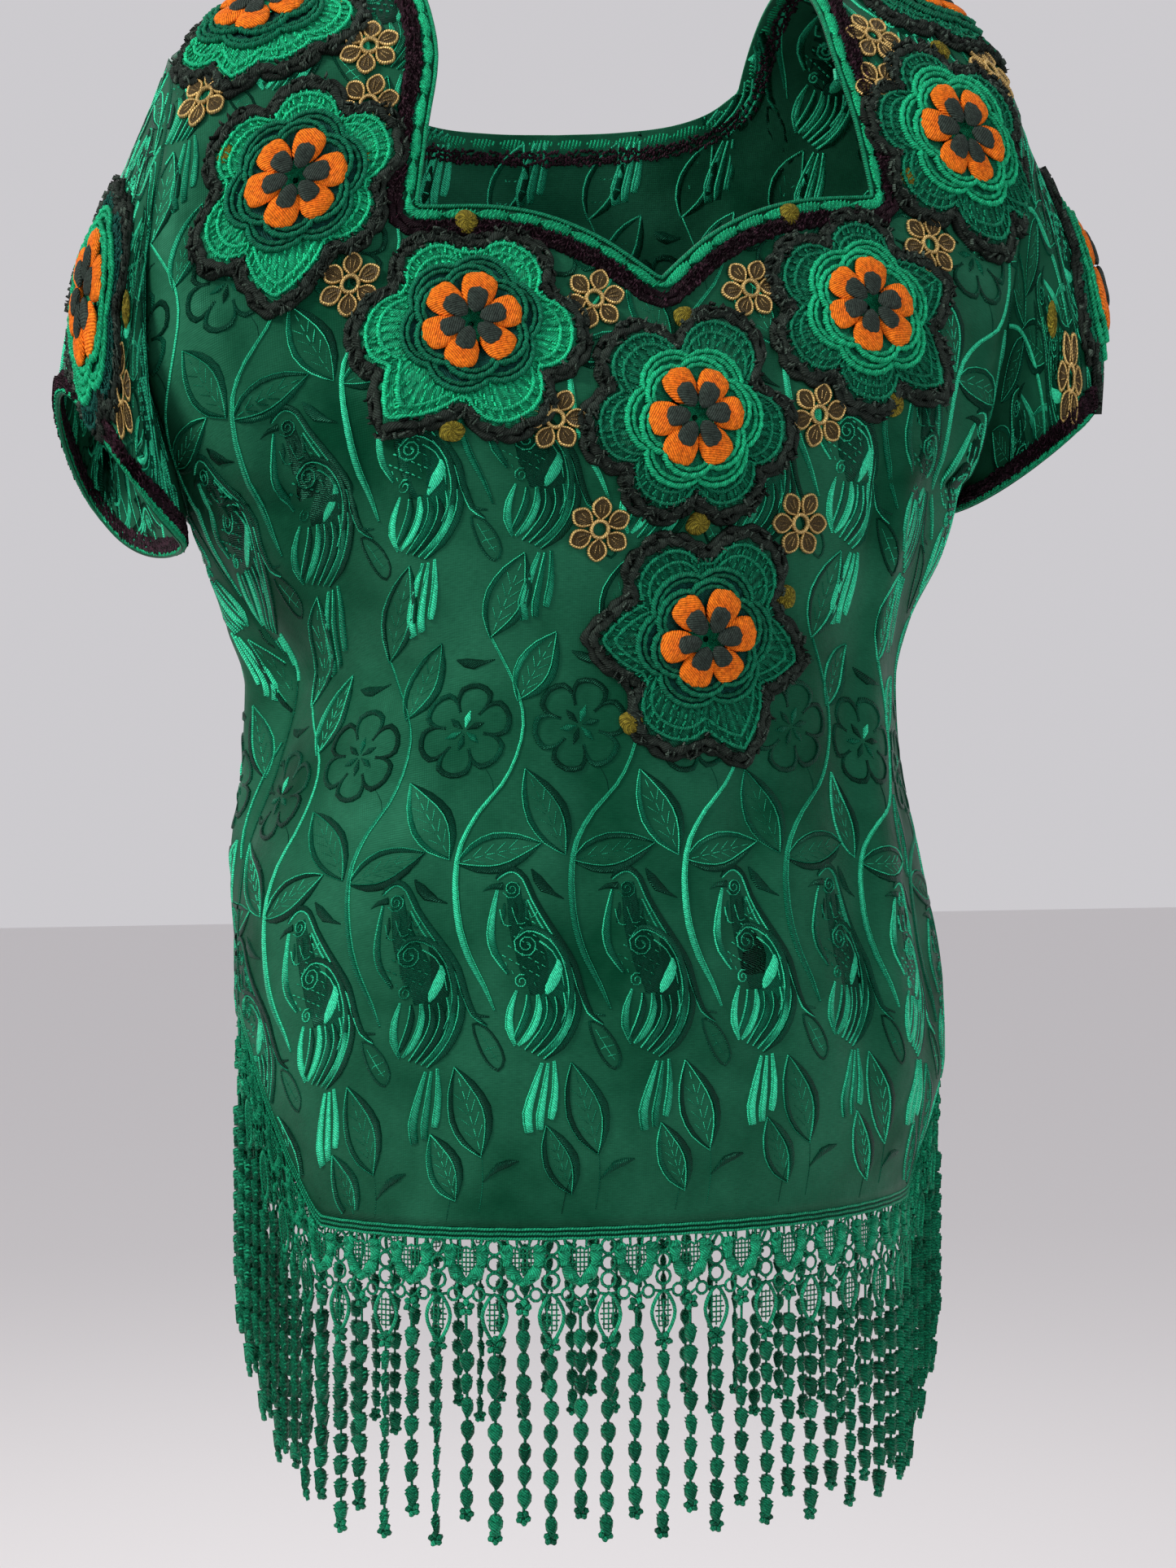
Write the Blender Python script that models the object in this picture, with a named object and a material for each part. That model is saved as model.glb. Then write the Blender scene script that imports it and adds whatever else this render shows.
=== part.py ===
"""A short-sleeved silk blouse as it hangs on a wearer: embroidered front and back, draped sleeves, a sweetheart
neckline with a corded edging, crochet flowers sewn on the yoke and sleeves, and a lace hem with a strand fringe.
Metres, +Z up. The front faces -Y, and -X is the wearer's right. The origin is where the shoulders carry it: the
middle of the neck, level with the top of the shoulder seams."""

import collections
import math

import bmesh
import bpy
import numpy as np

# Cloth and seams
CLOTH_WALL = 0.0015
LACE_WALL = 0.0020
LACE_THIN = 0.8  # share of the wall below the lace's header
EDGING_WALL = 0.0024
EDGING_THIN = 0.7  # share of the wall at an edging's inner edge
SEAM_GAP = 0.0003
SLEEVE_SEAM = 0.0009  # how far the sleeve's edge is set in and out from the armhole's
Surface = collections.namedtuple("Surface", "at outward")  # a function of two places, and its normals' sign
ON_CLOTH = 0.0013  # clearance under what is sewn on a panel, so that its flat facets clear the panel's ridges
ON_SLEEVE = {"sleeve_right": 0.0027, "sleeve_left": 0.0021}
ON_SHOULDER = 0.0023
SHOULDER_DROP = 0.120  # the cloth above this drop is rounded enough to need the larger clearance

# Body form: height, half width on the wearer's right (-X) and left (+X), and depth of the front and of the back
# from the plane of the side seams
Section = collections.namedtuple("Section", "z right_half left_half front back")
SECTIONS = [
    Section(0.000, 0.232, 0.228, 0.062, 0.062),
    Section(-0.056, 0.238, 0.227, 0.074, 0.076),
    Section(-0.100, 0.246, 0.224, 0.084, 0.088),
    Section(-0.150, 0.254, 0.219, 0.093, 0.098),
    Section(-0.200, 0.255, 0.214, 0.108, 0.105),
    Section(-0.250, 0.241, 0.210, 0.125, 0.107),
    Section(-0.285, 0.226, 0.208, 0.129, 0.105),
    Section(-0.320, 0.208, 0.197, 0.127, 0.101),
    Section(-0.350, 0.189, 0.179, 0.124, 0.098),
    Section(-0.385, 0.168, 0.170, 0.120, 0.097),
    Section(-0.430, 0.178, 0.174, 0.120, 0.104),
    Section(-0.480, 0.196, 0.184, 0.125, 0.116),
    Section(-0.547, 0.200, 0.197, 0.132, 0.128),
    Section(-0.590, 0.195, 0.199, 0.133, 0.127),
    Section(-0.620, 0.188, 0.192, 0.131, 0.125),
    Section(-0.661, 0.178, 0.178, 0.126, 0.121),
    Section(-0.720, 0.175, 0.175, 0.124, 0.119),
    Section(-0.860, 0.173, 0.173, 0.122, 0.118),
]
BACK_SLACK = [(-0.285, 0.0), (-0.330, 0.016), (-0.385, 0.036), (-0.440, 0.024), (-0.520, 0.0)]
BACK_SLACK_LEFT = 0.30  # share of the slack on the wearer's left
LEAN = 0.092  # how much higher the yoke sits toward the wearer's left
LEAN_FROM_Z = -0.200
LEAN_TO_Z = -0.420
SHOULDER_CAP = 0.075  # height over which the cloth rounds over the shoulder
SHOULDER_HALF = 0.232  # half width at the end of the shoulder seam
SHOULDER_LINE = [(0.000, 0.000), (0.109, 0.000), (0.150, -0.005), (0.190, -0.014), (0.215, -0.025), (0.232, -0.039)]
ROUNDNESS = 2.2  # exponent of the body's sections

# Armhole: how far its edge stands before or behind the side plane, down to the underarm
ARMHOLE_EDGE = [(-0.150, 0.078), (-0.100, 0.072), (-0.056, 0.060), (0.000, 0.056)]
ARMHOLE_WIDEST_Z = -0.150
ARMHOLE_RIGHT_FRONT = 0.66  # share of that depth on the wearer's right, where the front falls over the sleeve
UNDERARM_Z = -0.285

# Neckline: strap edge as (share of the way down, half width), front sweetheart as (half width, height)
STRAP_EDGE = [(0.00, 0.109), (0.50, 0.1085), (0.80, 0.118), (1.00, 0.124)]
SWEETHEART = [(0.000, -0.180), (0.012, -0.170), (0.028, -0.158), (0.055, -0.145), (0.080, -0.139), (0.124, -0.137)]
YOKE_OUTER_Z = -0.150
BACK_NECK = [(0.000, -0.062), (0.040, -0.061), (0.075, -0.057), (0.095, -0.050), (0.108, -0.040)]
BACK_YOKE_OUTER_Z = -0.150

# Hem: level along the bottom, rising to a rounded notch at each side seam
HEM_Z = -0.661
HEM_NOTCH_RISE = 0.105
HEM_NOTCH_FROM_DEG = 68.0

# Largest folds: side, from (x, z) to (x, z), half width across, depth (out is positive)
Fold = collections.namedtuple("Fold", "side x0 z0 x1 z1 width depth")
FOLDS = [
    Fold("front", -0.205, -0.235, -0.132, -0.405, 0.021, -0.016),
    Fold("front", -0.158, -0.380, -0.178, -0.560, 0.012, -0.007),
    Fold("front", 0.186, -0.205, 0.150, -0.380, 0.013, -0.012),
    Fold("front", 0.206, -0.180, 0.190, -0.330, 0.011, 0.008),
    Fold("front", 0.104, -0.330, 0.112, -0.610, 0.012, -0.009),
    Fold("front", 0.131, -0.350, 0.138, -0.610, 0.012, 0.007),
    Fold("front", 0.156, -0.370, 0.163, -0.610, 0.012, -0.009),
    Fold("back", -0.180, -0.210, -0.110, -0.420, 0.020, -0.015),
    Fold("back", 0.170, -0.210, 0.115, -0.400, 0.018, -0.014),
    Fold("back", -0.060, -0.330, -0.075, -0.610, 0.015, -0.010),
    Fold("back", 0.065, -0.330, 0.080, -0.610, 0.015, -0.010),
    Fold("back", 0.000, -0.280, 0.002, -0.600, 0.018, 0.008),
]

# Sleeves: the loop of the sleeve's hem, from its outer point to its underarm point
Sleeve = collections.namedtuple(
    "Sleeve", "name side outer_x outer_z under_x under_z half_depth front_drop back_drop swell"
)
SLEEVES = [
    Sleeve("right", -1, 0.292, -0.240, 0.232, -0.320, 0.084, 0.020, 0.014, 0.008),
    Sleeve("left", 1, 0.283, -0.224, 0.214, -0.284, 0.084, -0.006, 0.004, 0.020),
]
SLEEVE_ROWS = 7
HEM_TURN = 0.32  # how far the sleeve's lines turn outward on their way down, in radians at the front and back
SLEEVE_SWELL_SIDE = 0.005
SWELL_OUT, SWELL_UP = 0.92, 0.39  # the way the outer fold swells
SWELL_PEAK = 6.75  # brings the swell's curve along the sleeve, share squared times the rest, to 1
SLEEVE_EDGING_WIDTH = 0.016
EDGING_FROM_SHARE = 0.30  # the edging starts below this share of the sleeve, also at the short underarm

# Grid of the panels
CENTRE_CELLS = 12
STRAP_CELLS = 7
STRAP_ROWS = 5
ARMHOLE_ROWS = 5
LOWER_ROWS = 12
BACK_CENTRE_CELLS = 8
BACK_STRAP_CELLS = 6

# Neck edging
EDGING_WIDTH = 0.018
SCALLOP_DEPTH = 0.0022
SCALLOP_PITCH = 0.016

# Crochet flowers: where, and how large. "across" is the share of the half width, "drop" the length of cloth
# below the shoulder seam. On a sleeve "across" is the angle round from its outer fold to the front, "drop" the
# share of the way from the armhole to the sleeve's hem.
Flower = collections.namedtuple("Flower", "name on across drop radius turn_deg")
FLOWERS = [
    Flower("shoulder_right", "front", -0.815, 0.040, 0.058, 10),
    Flower("chest_right", "front", -0.738, 0.157, 0.063, 5),
    Flower("bust_right", "front", -0.400, 0.246, 0.064, 12),
    Flower("centre", "front", 0.038, 0.300, 0.058, 0),
    Flower("low_centre", "front", 0.090, 0.409, 0.063, 8),
    Flower("bust_left", "front", 0.528, 0.243, 0.058, 20),
    Flower("chest_left", "front", 0.800, 0.135, 0.060, 0),
    Flower("shoulder_left", "front", 0.820, 0.020, 0.056, 15),
    Flower("sleeve_right", "sleeve_right", 43, 0.67, 0.052, 5),
    Flower("sleeve_left", "sleeve_left", 38, 0.60, 0.052, 10),
]
PETALS = 6
PETAL_DIVISIONS = 3  # points round one petal
BASE_RINGS = [(0.36, 0.0035), (0.60, 0.0060), (1.00, 0.0022)]
BASE_VALLEY = 0.80
BESIDE = 0.0032  # clearance between flowers that meet
ARMHOLE_ROOM = 0.004
ROSETTE_SHARE = 0.42
ROSETTE_HEIGHT = 0.0030
ROSETTE_VALLEY = 0.70
ROSETTE_DISH = 0.40  # share of its height left in the rosette's middle

# Small gold flowers
Blossom = collections.namedtuple("Blossom", "name on across drop turn_deg")
BLOSSOMS = [
    Blossom("gold_01", "front", -0.935, 0.089, 0),
    Blossom("gold_02", "front", -0.605, 0.090, 15),
    Blossom("gold_03", "front", -0.605, 0.123, 5),
    Blossom("gold_04", "front", -0.627, 0.216, 20),
    Blossom("gold_05", "front", -0.145, 0.234, 10),
    Blossom("gold_06", "front", -0.265, 0.297, 0),
    Blossom("gold_07", "front", -0.193, 0.354, 25),
    Blossom("gold_08", "front", 0.338, 0.352, 0),
    Blossom("gold_09", "front", 0.376, 0.299, 12),
    Blossom("gold_10", "front", 0.225, 0.231, 5),
    Blossom("gold_11", "front", 0.720, 0.200, 18),
    Blossom("gold_12", "front", 0.600, 0.084, 0),
    Blossom("gold_13", "front", 0.600, 0.117, 8),
    Blossom("gold_14", "front", 0.925, 0.079, 20),
    Blossom("gold_15", "sleeve_right", 82, 0.74, 0),
    Blossom("gold_16", "sleeve_left", 98, 0.74, 0),
]
BLOSSOM_ON_CLOTH = 0.0008
BLOSSOM_ON_SLEEVE = 0.0014
BLOSSOM_RADIUS = 0.0165
BLOSSOM_HEIGHT = 0.0028
BLOSSOM_VALLEY = 0.52

# Lace hem and its fringe
LACE_REPEATS = 18
LACE_COLUMNS = 4  # grid columns in one repeat
LACE_HEADER = 0.009
LACE_DEPTH = 0.040
LACE_SCALLOP = 0.003
LACE_OPEN_CELLS = {(0, 1), (2, 2)}  # (column in the repeat, row) of the cells cut through
FRINGE_STRIP = 0.0030
FRINGE_LONG = 0.118
FRINGE_SHORT = 0.106
FRINGE_FLAT = 0.45  # thickness of a strand as a share of its width
# Strand outline: share of the way down, width
STRAND_LONG = [(0.10, 0.0086), (0.20, 0.0030), (0.60, 0.0072), (1.00, 0.0030)]
STRAND_SHORT = [(0.08, 0.0082), (0.16, 0.0030), (0.70, 0.0070), (1.00, 0.0056)]

COLOURS = {
    "silk": (0.010, 0.105, 0.048),
    "edging": (0.006, 0.140, 0.060),
    "petals": (0.006, 0.160, 0.070),
    "rosette": (0.850, 0.180, 0.012),
    "gold": (0.330, 0.200, 0.060),
    "lace": (0.006, 0.120, 0.055),
}


def smooth(x, table):
    """Reads a smooth curve through (x, y) pairs, which run up or down in x."""
    xs, ys = np.array(sorted(table), float).T[:2]
    steps = np.diff(ys) / np.diff(xs)
    slopes = np.concatenate([steps[:1], (steps[:-1] + steps[1:]) / 2, steps[-1:]])
    flat = np.concatenate([[False], steps[:-1] * steps[1:] <= 0, [False]])
    slopes[flat] = 0.0
    x = np.clip(np.asarray(x, float), xs[0], xs[-1])
    i = np.clip(np.searchsorted(xs, x, side="right") - 1, 0, len(xs) - 2)
    width = xs[i + 1] - xs[i]
    t = (x - xs[i]) / width
    return (
        (2 * t**3 - 3 * t**2 + 1) * ys[i]
        + (t**3 - 2 * t**2 + t) * width * slopes[i]
        + (3 * t**2 - 2 * t**3) * ys[i + 1]
        + (t**3 - t**2) * width * slopes[i + 1]
    )


def half_width(z, across):
    """Half width at height z, on the side where across lies."""
    right = smooth(z, [(s.z, s.right_half) for s in SECTIONS])
    left = smooth(z, [(s.z, s.left_half) for s in SECTIONS])
    return np.where(np.asarray(across) < 0, right, left)


def depth(z, side):
    """Depth of the body's middle at height z: side -1 is the front, 1 the back."""
    front = smooth(z, [(s.z, s.front) for s in SECTIONS])
    back = smooth(z, [(s.z, s.back) for s in SECTIONS])
    return np.where(side < 0, front, back)


def edge_depth(z, across, side):
    """How far the panel's outer edge stands from the side plane: the armhole's half opening, and 0 below it."""
    closing = np.clip((ARMHOLE_WIDEST_Z - z) / (ARMHOLE_WIDEST_Z - UNDERARM_Z), 0, 1)
    share = np.where((across < 0) & (side < 0), ARMHOLE_RIGHT_FRONT, 1.0)
    return smooth(z, ARMHOLE_EDGE) * np.sqrt(1 - closing**2) * share


def fold_depth(x, z, side):
    """Sum of the folds at a place on a panel."""
    total = np.zeros(np.broadcast(x, z).shape)
    for fold in FOLDS:
        wanted = -1 if fold.side == "front" else 1
        start = np.array([fold.x0, fold.z0])
        run = np.array([fold.x1, fold.z1]) - start
        length = math.hypot(*run)
        along = ((x - start[0]) * run[0] + (z - start[1]) * run[1]) / length**2
        off = ((x - start[0]) * run[1] - (z - start[1]) * run[0]) / length
        ends = np.clip(1 - (2 * along - 1) ** 4, 0, 1) * ((along > 0) & (along < 1))
        total = total + np.where(side == wanted, fold.depth * np.exp(-((off / fold.width) ** 2)) * ends, 0)
    return total


def height(across, drop):
    """Height of a point of a panel before the yoke's lean, and how far it has turned over the shoulder."""
    arc = SHOULDER_CAP * math.pi / 2
    turn = np.clip(drop / arc, 0, 1) * math.pi / 2
    top = smooth(np.abs(across) * SHOULDER_HALF, SHOULDER_LINE)
    return top - SHOULDER_CAP * (1 - np.cos(turn)) - np.maximum(drop - arc, 0), turn


def cloth(across, drop, side):
    """Points of a panel's outer face. across is the share of the half width, drop the length of cloth below the
    shoulder seam, side -1 for the front and 1 for the back. A negative drop lies over the shoulder, on the other
    panel."""
    across, drop = np.broadcast_arrays(np.asarray(across, float), np.asarray(drop, float))
    side = np.where(drop < 0, -side, side)
    z, turn = height(across, np.abs(drop))
    edge = edge_depth(z, across, side)
    round_off = np.sqrt(np.clip(1 - np.abs(across) ** ROUNDNESS, 0, 1))
    slack = smooth(z, BACK_SLACK) * (side > 0) * np.where(across < 0, -1, BACK_SLACK_LEFT)
    x = across * half_width(z, across) + slack * np.sin(math.pi * round_off)
    y = edge + (depth(z, side) - edge + fold_depth(x, z, side)) * round_off
    fade = np.clip((z - LEAN_TO_Z) / (LEAN_FROM_Z - LEAN_TO_Z), 0, 1)
    z = z + LEAN * x * fade**2 * (3 - 2 * fade)
    return np.stack([x, side * (y * np.sin(turn) + SEAM_GAP / 2), z], axis=-1)


def drop_at(across, z):
    """The drop of a point at height z, below the shoulder's rounding."""
    top = smooth(np.abs(across) * SHOULDER_HALF, SHOULDER_LINE)
    return SHOULDER_CAP * math.pi / 2 + top - SHOULDER_CAP - z


def hem_z(across):
    angle = np.degrees(np.arcsin(np.clip(np.abs(across), 0, 1)))
    t = np.clip((angle - HEM_NOTCH_FROM_DEG) / (90 - HEM_NOTCH_FROM_DEG), 0, 1)
    return HEM_Z + HEM_NOTCH_RISE * t * t * (3 - 2 * t)


def unit(vectors):
    return vectors / np.maximum(np.linalg.norm(vectors, axis=-1, keepdims=True), 1e-12)


def grid_normals(points, wrap=False):
    """Unit normals of a grid of points, turned away from the wearer."""
    if wrap:
        padded = np.concatenate([points[-1:], points, points[:1]])
        du = (padded[2:] - padded[:-2]) / 2
    else:
        du = np.gradient(points, axis=0)
    normals = unit(np.cross(du, np.gradient(points, axis=1)))
    centre = points.reshape(-1, 3).mean(0)
    outward = ((points - centre) * normals).sum()
    return normals if outward > 0 else -normals


def material(slot):
    made = bpy.data.materials.get(slot)
    if made is None:
        made = bpy.data.materials.new(slot)
        made.use_nodes = True
        shader = made.node_tree.nodes["Principled BSDF"]
        shader.inputs["Base Color"].default_value = (*COLOURS[slot], 1.0)
        shader.inputs["Roughness"].default_value = 0.55
        shader.inputs["Metallic"].default_value = 0.0
    return made


def make_object(name, points, faces, slot):
    """One closed solid from its points and faces."""
    mesh = bpy.data.meshes.new(name)
    used = sorted({i for face in faces for i in face})
    place = {old: new for new, old in enumerate(used)}
    mesh.from_pydata([tuple(points[i]) for i in used], [], [[place[i] for i in face] for face in faces])
    work = bmesh.new()
    work.from_mesh(mesh)
    bmesh.ops.recalc_face_normals(work, faces=work.faces)
    work.to_mesh(mesh)
    work.free()
    mesh.shade_smooth()
    mesh.set_sharp_from_angle(angle=math.radians(50))
    mesh.materials.append(material(slot))
    obj = bpy.data.objects.new(name, mesh)
    bpy.context.scene.collection.objects.link(obj)
    return obj


def wall_faces(shape, cells, wrap):
    """Faces of a wall over a grid: outer and inner skins of the cells kept, and a rim round each edge and hole."""
    nu, nv = shape
    inner = nu * nv

    def at(i, j):
        return (i % nu) * nv + j

    def kept(i, j):
        if wrap:
            i %= cells.shape[0]
        return 0 <= i < cells.shape[0] and 0 <= j < cells.shape[1] and cells[i, j]

    faces = []
    for i, j in zip(*np.nonzero(cells)):
        a, b, c, d = at(i, j), at(i + 1, j), at(i + 1, j + 1), at(i, j + 1)
        faces.append((a, b, c, d))
        faces.append((a + inner, d + inner, c + inner, b + inner))
        rims = (((i - 1, j), a, d), ((i + 1, j), c, b), ((i, j - 1), b, a), ((i, j + 1), d, c))
        for (u, v), p, q in rims:
            if not kept(u, v):
                faces.append((p, q, q + inner, p + inner))
    return faces


def wall(name, outer, inner, slot, cells=None, wrap=False):
    """A cloth wall between two grids of points. cells marks the cells of the grid that are cloth."""
    shape = outer.shape[:2]
    if cells is None:
        cells = np.ones((shape[0] - (0 if wrap else 1), shape[1] - 1), bool)
    points = np.concatenate([outer.reshape(-1, 3), inner.reshape(-1, 3)])
    return make_object(name, points, wall_faces(shape, cells, wrap), slot)


def lower_rows():
    """Shares of the way from the yoke row to the hem, with a row at the underarm."""
    underarm = (YOKE_OUTER_Z - UNDERARM_Z) / (YOKE_OUTER_Z - hem_z(1.0))
    upper = np.linspace(0, underarm, ARMHOLE_ROWS + 1)
    lower = np.linspace(underarm, 1, LOWER_ROWS + 1)
    return np.concatenate([upper, lower[1:]])


def panel_grid(side, neck, centre_cells, strap_cells, outer_z, corner_half):
    """(across, drop) of each grid point of a panel, and which cells are cloth. The upper rows hold the two straps
    and the lower rows the whole width, from the neckline or yoke row to the hem."""
    corner_z = smooth(corner_half, neck)
    parts = []
    for sign in (-1, 1):
        corner = corner_half / half_width(corner_z, sign)
        angle = np.linspace(math.asin(corner), math.pi / 2, strap_cells + 1)
        parts.append(sign * np.sin(angle))
    middle = np.linspace(-corner_half, corner_half, centre_cells + 1)[1:-1]
    centre = middle / half_width(corner_z, middle)
    yoke = np.concatenate([parts[0][::-1], centre, parts[1]])
    corner = np.where(yoke < 0, abs(parts[0][0]), parts[1][0])
    flank = np.clip((np.abs(yoke) - corner) / (1 - corner), 0, 1)
    neck_z = smooth(np.abs(yoke * half_width(corner_z, yoke)), neck)
    yoke_z = np.where(flank > 0, corner_z + (outer_z - corner_z) * flank, neck_z)
    rows = [(yoke, drop_at(yoke, yoke_z + (hem_z(yoke) - yoke_z) * t)) for t in lower_rows()]
    yoke_drop = rows[0][1]
    upper = []
    for down in np.arange(STRAP_ROWS) / STRAP_ROWS:
        edge_half = smooth(down, STRAP_EDGE) if side < 0 else STRAP_EDGE[0][1] + (corner_half - STRAP_EDGE[0][1]) * down
        edge_z = height(corner, yoke_drop[strap_cells] * down)[0]
        edge = edge_half / half_width(edge_z, yoke)
        in_strap = np.abs(yoke) >= corner - 1e-9
        upper.append((np.where(in_strap, np.sign(yoke) * (edge + (1 - edge) * flank), yoke), yoke_drop * down))
    grid = upper + rows
    across = np.stack([row[0] for row in grid], axis=1)
    drop = np.stack([row[1] for row in grid], axis=1)
    cells = np.ones((across.shape[0] - 1, across.shape[1] - 1), bool)
    cells[strap_cells : strap_cells + centre_cells, :STRAP_ROWS] = False
    return across, drop, cells


def panel_normals(side, grid):
    """Unit normals at a panel's grid points. They are square to the side plane at the seams and level at the hem."""
    across, drop, _ = grid
    step = 1e-4
    du = cloth(np.clip(across + step, -1, 1), drop, side) - cloth(np.clip(across - step, -1, 1), drop, side)
    dv = cloth(across, drop + step, side) - cloth(across, np.maximum(drop - step, 0), side)
    normals = unit(np.cross(du, dv)) * side
    normals[[0, -1], :, 1] = 0
    normals[:, 0, 1] = 0
    normals[:, -1, 2] = 0
    return unit(normals)


def panel(name, side, grid):
    """The front or the back as a wall."""
    across, drop, cells = grid
    outer = cloth(across, drop, side)
    return wall(name, outer, outer - panel_normals(side, grid) * CLOTH_WALL, "silk", cells)


def armhole_loop(side_x):
    """The armhole's points from the front and the back panels, once round from the shoulder seam."""
    across, drop, _ = front_grid
    column = -1 if side_x > 0 else 0
    rows = STRAP_ROWS + ARMHOLE_ROWS + 1
    front = cloth(across[column, :rows], drop[column, :rows], -1)
    across, drop, _ = back_grid
    back = cloth(across[column, :rows], drop[column, :rows], 1)
    loop = np.concatenate([front, back[-2:0:-1]])
    loop[0, 1] = loop[rows - 1, 1] = 0
    return loop


def sleeve_hem(sleeve, angle):
    """The loop of a sleeve's hem. angle runs from the outer fold round the front and the underarm."""
    outer = np.array([sleeve.outer_x, 0, sleeve.outer_z])
    under = np.array([sleeve.under_x, 0, sleeve.under_z])
    middle, reach = (outer + under) / 2, (outer - under) / 2
    drop = np.where(np.sin(angle) > 0, sleeve.front_drop, sleeve.back_drop) * np.sin(angle) ** 2
    points = middle + np.cos(angle)[..., None] * reach
    points[..., 1] = -sleeve.half_depth * np.sin(angle)
    points[..., 2] -= drop
    points[..., 0] *= sleeve.side
    return points


def sleeve_surface(sleeve):
    """A function giving points of a sleeve's outer face from an angle round it and the share from armhole to hem."""
    loop = armhole_loop(sleeve.side)
    centre = loop.mean(0)
    start = centre + (loop - centre) * (1 - SLEEVE_SEAM / np.linalg.norm(loop - centre, axis=1, keepdims=True))
    start[:, 0] = loop[:, 0] + sleeve.side * SLEEVE_SEAM
    closed_loop = np.concatenate([start, start[:1]])
    places = np.linspace(0, 2 * math.pi, len(closed_loop))

    def surface(angle, share):
        angle, share = np.broadcast_arrays(np.asarray(angle, float), np.asarray(share, float))
        turned = np.mod(angle, 2 * math.pi)
        begin = np.stack([np.interp(turned, places, closed_loop[:, k]) for k in range(3)], axis=-1)
        end = sleeve_hem(sleeve, turned - HEM_TURN * np.sin(turned))
        up = np.maximum(np.cos(turned), 0)
        swell = (SLEEVE_SWELL_SIDE + (sleeve.swell - SLEEVE_SWELL_SIDE) * up) * SWELL_PEAK * share**2 * (1 - share)
        out = np.stack([SWELL_OUT * sleeve.side * np.cos(turned), -np.sin(turned), SWELL_UP * np.cos(turned)], axis=-1)
        swell = np.where(np.cos(turned) < 0, swell * (1 + np.cos(turned)), swell)
        return begin + (end - begin) * share[..., None] + out * swell[..., None]

    return surface, len(loop)


def make_sleeve(sleeve):
    surface, count = sleeve_surface(sleeve)
    angle = np.linspace(0, 2 * math.pi, count, endpoint=False)[:, None]
    share = np.linspace(0, 1, SLEEVE_ROWS + 1)[None, :]
    outer = surface(angle, share)
    inner = outer - grid_normals(outer, wrap=True) * CLOTH_WALL
    wall(f"sleeve_{sleeve.name}", outer, inner, "silk", wrap=True)
    edge_share = 1 - SLEEVE_EDGING_WIDTH / np.linalg.norm(surface(angle, 1.0) - surface(angle, 0.0), axis=-1)
    edge_share = np.maximum(edge_share, EDGING_FROM_SHARE)
    across = np.stack([edge_share, np.ones_like(edge_share)], axis=-1)[:, 0]
    base = surface(angle, across)
    out = grid_normals(base, wrap=True)
    ridge = ON_CLOTH + EDGING_WALL * np.array([EDGING_THIN, 1.0])[None, :, None]
    wall(f"sleeve_edging_{sleeve.name}", base + out * ridge, base + out * ON_CLOTH, "edging", wrap=True)


def neck_path(grid, strap_cells, centre_cells):
    """(across, drop) of the neckline's edge, from one shoulder seam to the other."""
    across, drop, _ = grid
    last = strap_cells + centre_cells
    right = [(across[strap_cells, j], drop[strap_cells, j]) for j in range(STRAP_ROWS)]
    middle = [(across[i, STRAP_ROWS], drop[i, STRAP_ROWS]) for i in range(strap_cells, last + 1)]
    left = [(across[last, j], drop[last, j]) for j in range(STRAP_ROWS)]
    return np.array(right + middle + left[::-1])


def resample(path, count):
    """Points spaced evenly along a polyline."""
    lengths = np.concatenate([[0], np.cumsum(np.linalg.norm(np.diff(path, axis=0), axis=1))])
    places = np.linspace(0, lengths[-1], count + 1)
    return np.stack([np.interp(places, lengths, path[:, k]) for k in range(2)], axis=1)


def flatten(across, drop):
    """Lays (across, drop) out as lengths: sideways and down."""
    return np.stack([across * half_width(height(across, np.abs(drop))[0], across), drop], axis=-1)


def unflatten(flat):
    """(across, drop) of points laid out as lengths."""
    drop = flat[..., 1]
    across = flat[..., 0] / half_width(-np.abs(drop), flat[..., 0])
    for _ in range(3):
        across = flat[..., 0] / half_width(height(np.clip(across, -1, 1), np.abs(drop))[0], flat[..., 0])
    return across, drop


def edging(name, side, grid, strap_cells, centre_cells):
    """The corded band on the neckline: its outer edge is scalloped, and it lies on the panel."""
    path = neck_path(grid, strap_cells, centre_cells)
    flat = flatten(path[:, 0], path[:, 1])
    length = np.linalg.norm(np.diff(flat, axis=0), axis=1).sum()
    flat = resample(flat, 2 * round(length / SCALLOP_PITCH))
    run = unit(np.diff(flat, axis=0))
    before, after = np.concatenate([run[:1], run]), np.concatenate([run, run[-1:]])
    tangent = unit(before + after)
    stretch = 1 / np.sqrt(np.clip((1 + (before * after).sum(1)) / 2, 0.5, 1))
    into = np.stack([-tangent[:, 1], tangent[:, 0]], axis=1) * stretch[:, None]
    into[[0, -1], 1] = 0
    scallop = SCALLOP_DEPTH * (np.arange(len(flat)) % 2)
    spread = np.stack([scallop, np.full(len(flat), EDGING_WIDTH)], axis=1)
    places = flat[:, None, :] + into[:, None, :] * spread[..., None]
    places[..., 1] = np.maximum(places[..., 1], 0.0)
    across, drop = unflatten(places)
    base = cloth(across, drop, side)
    out = surface_normals(Surface(lambda a, d: cloth(a, d, side), side), across, drop)
    out[[0, -1], :, 1] = 0
    out = unit(out)
    ridge = ON_CLOTH + EDGING_WALL * np.array([1.0, EDGING_THIN])[None, :, None]
    wall(name, base + out * ridge, base + out * ON_CLOTH, "edging")
    steps = np.linspace(0, 1, 5)[:-1, None, None]
    along = np.concatenate(base[:-1] + (base[1:] - base[:-1]) * steps[:, None])
    return np.concatenate([along[:, 0] + (along[:, 1] - along[:, 0]) * t for t in np.linspace(0, 1, 10)])


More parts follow.
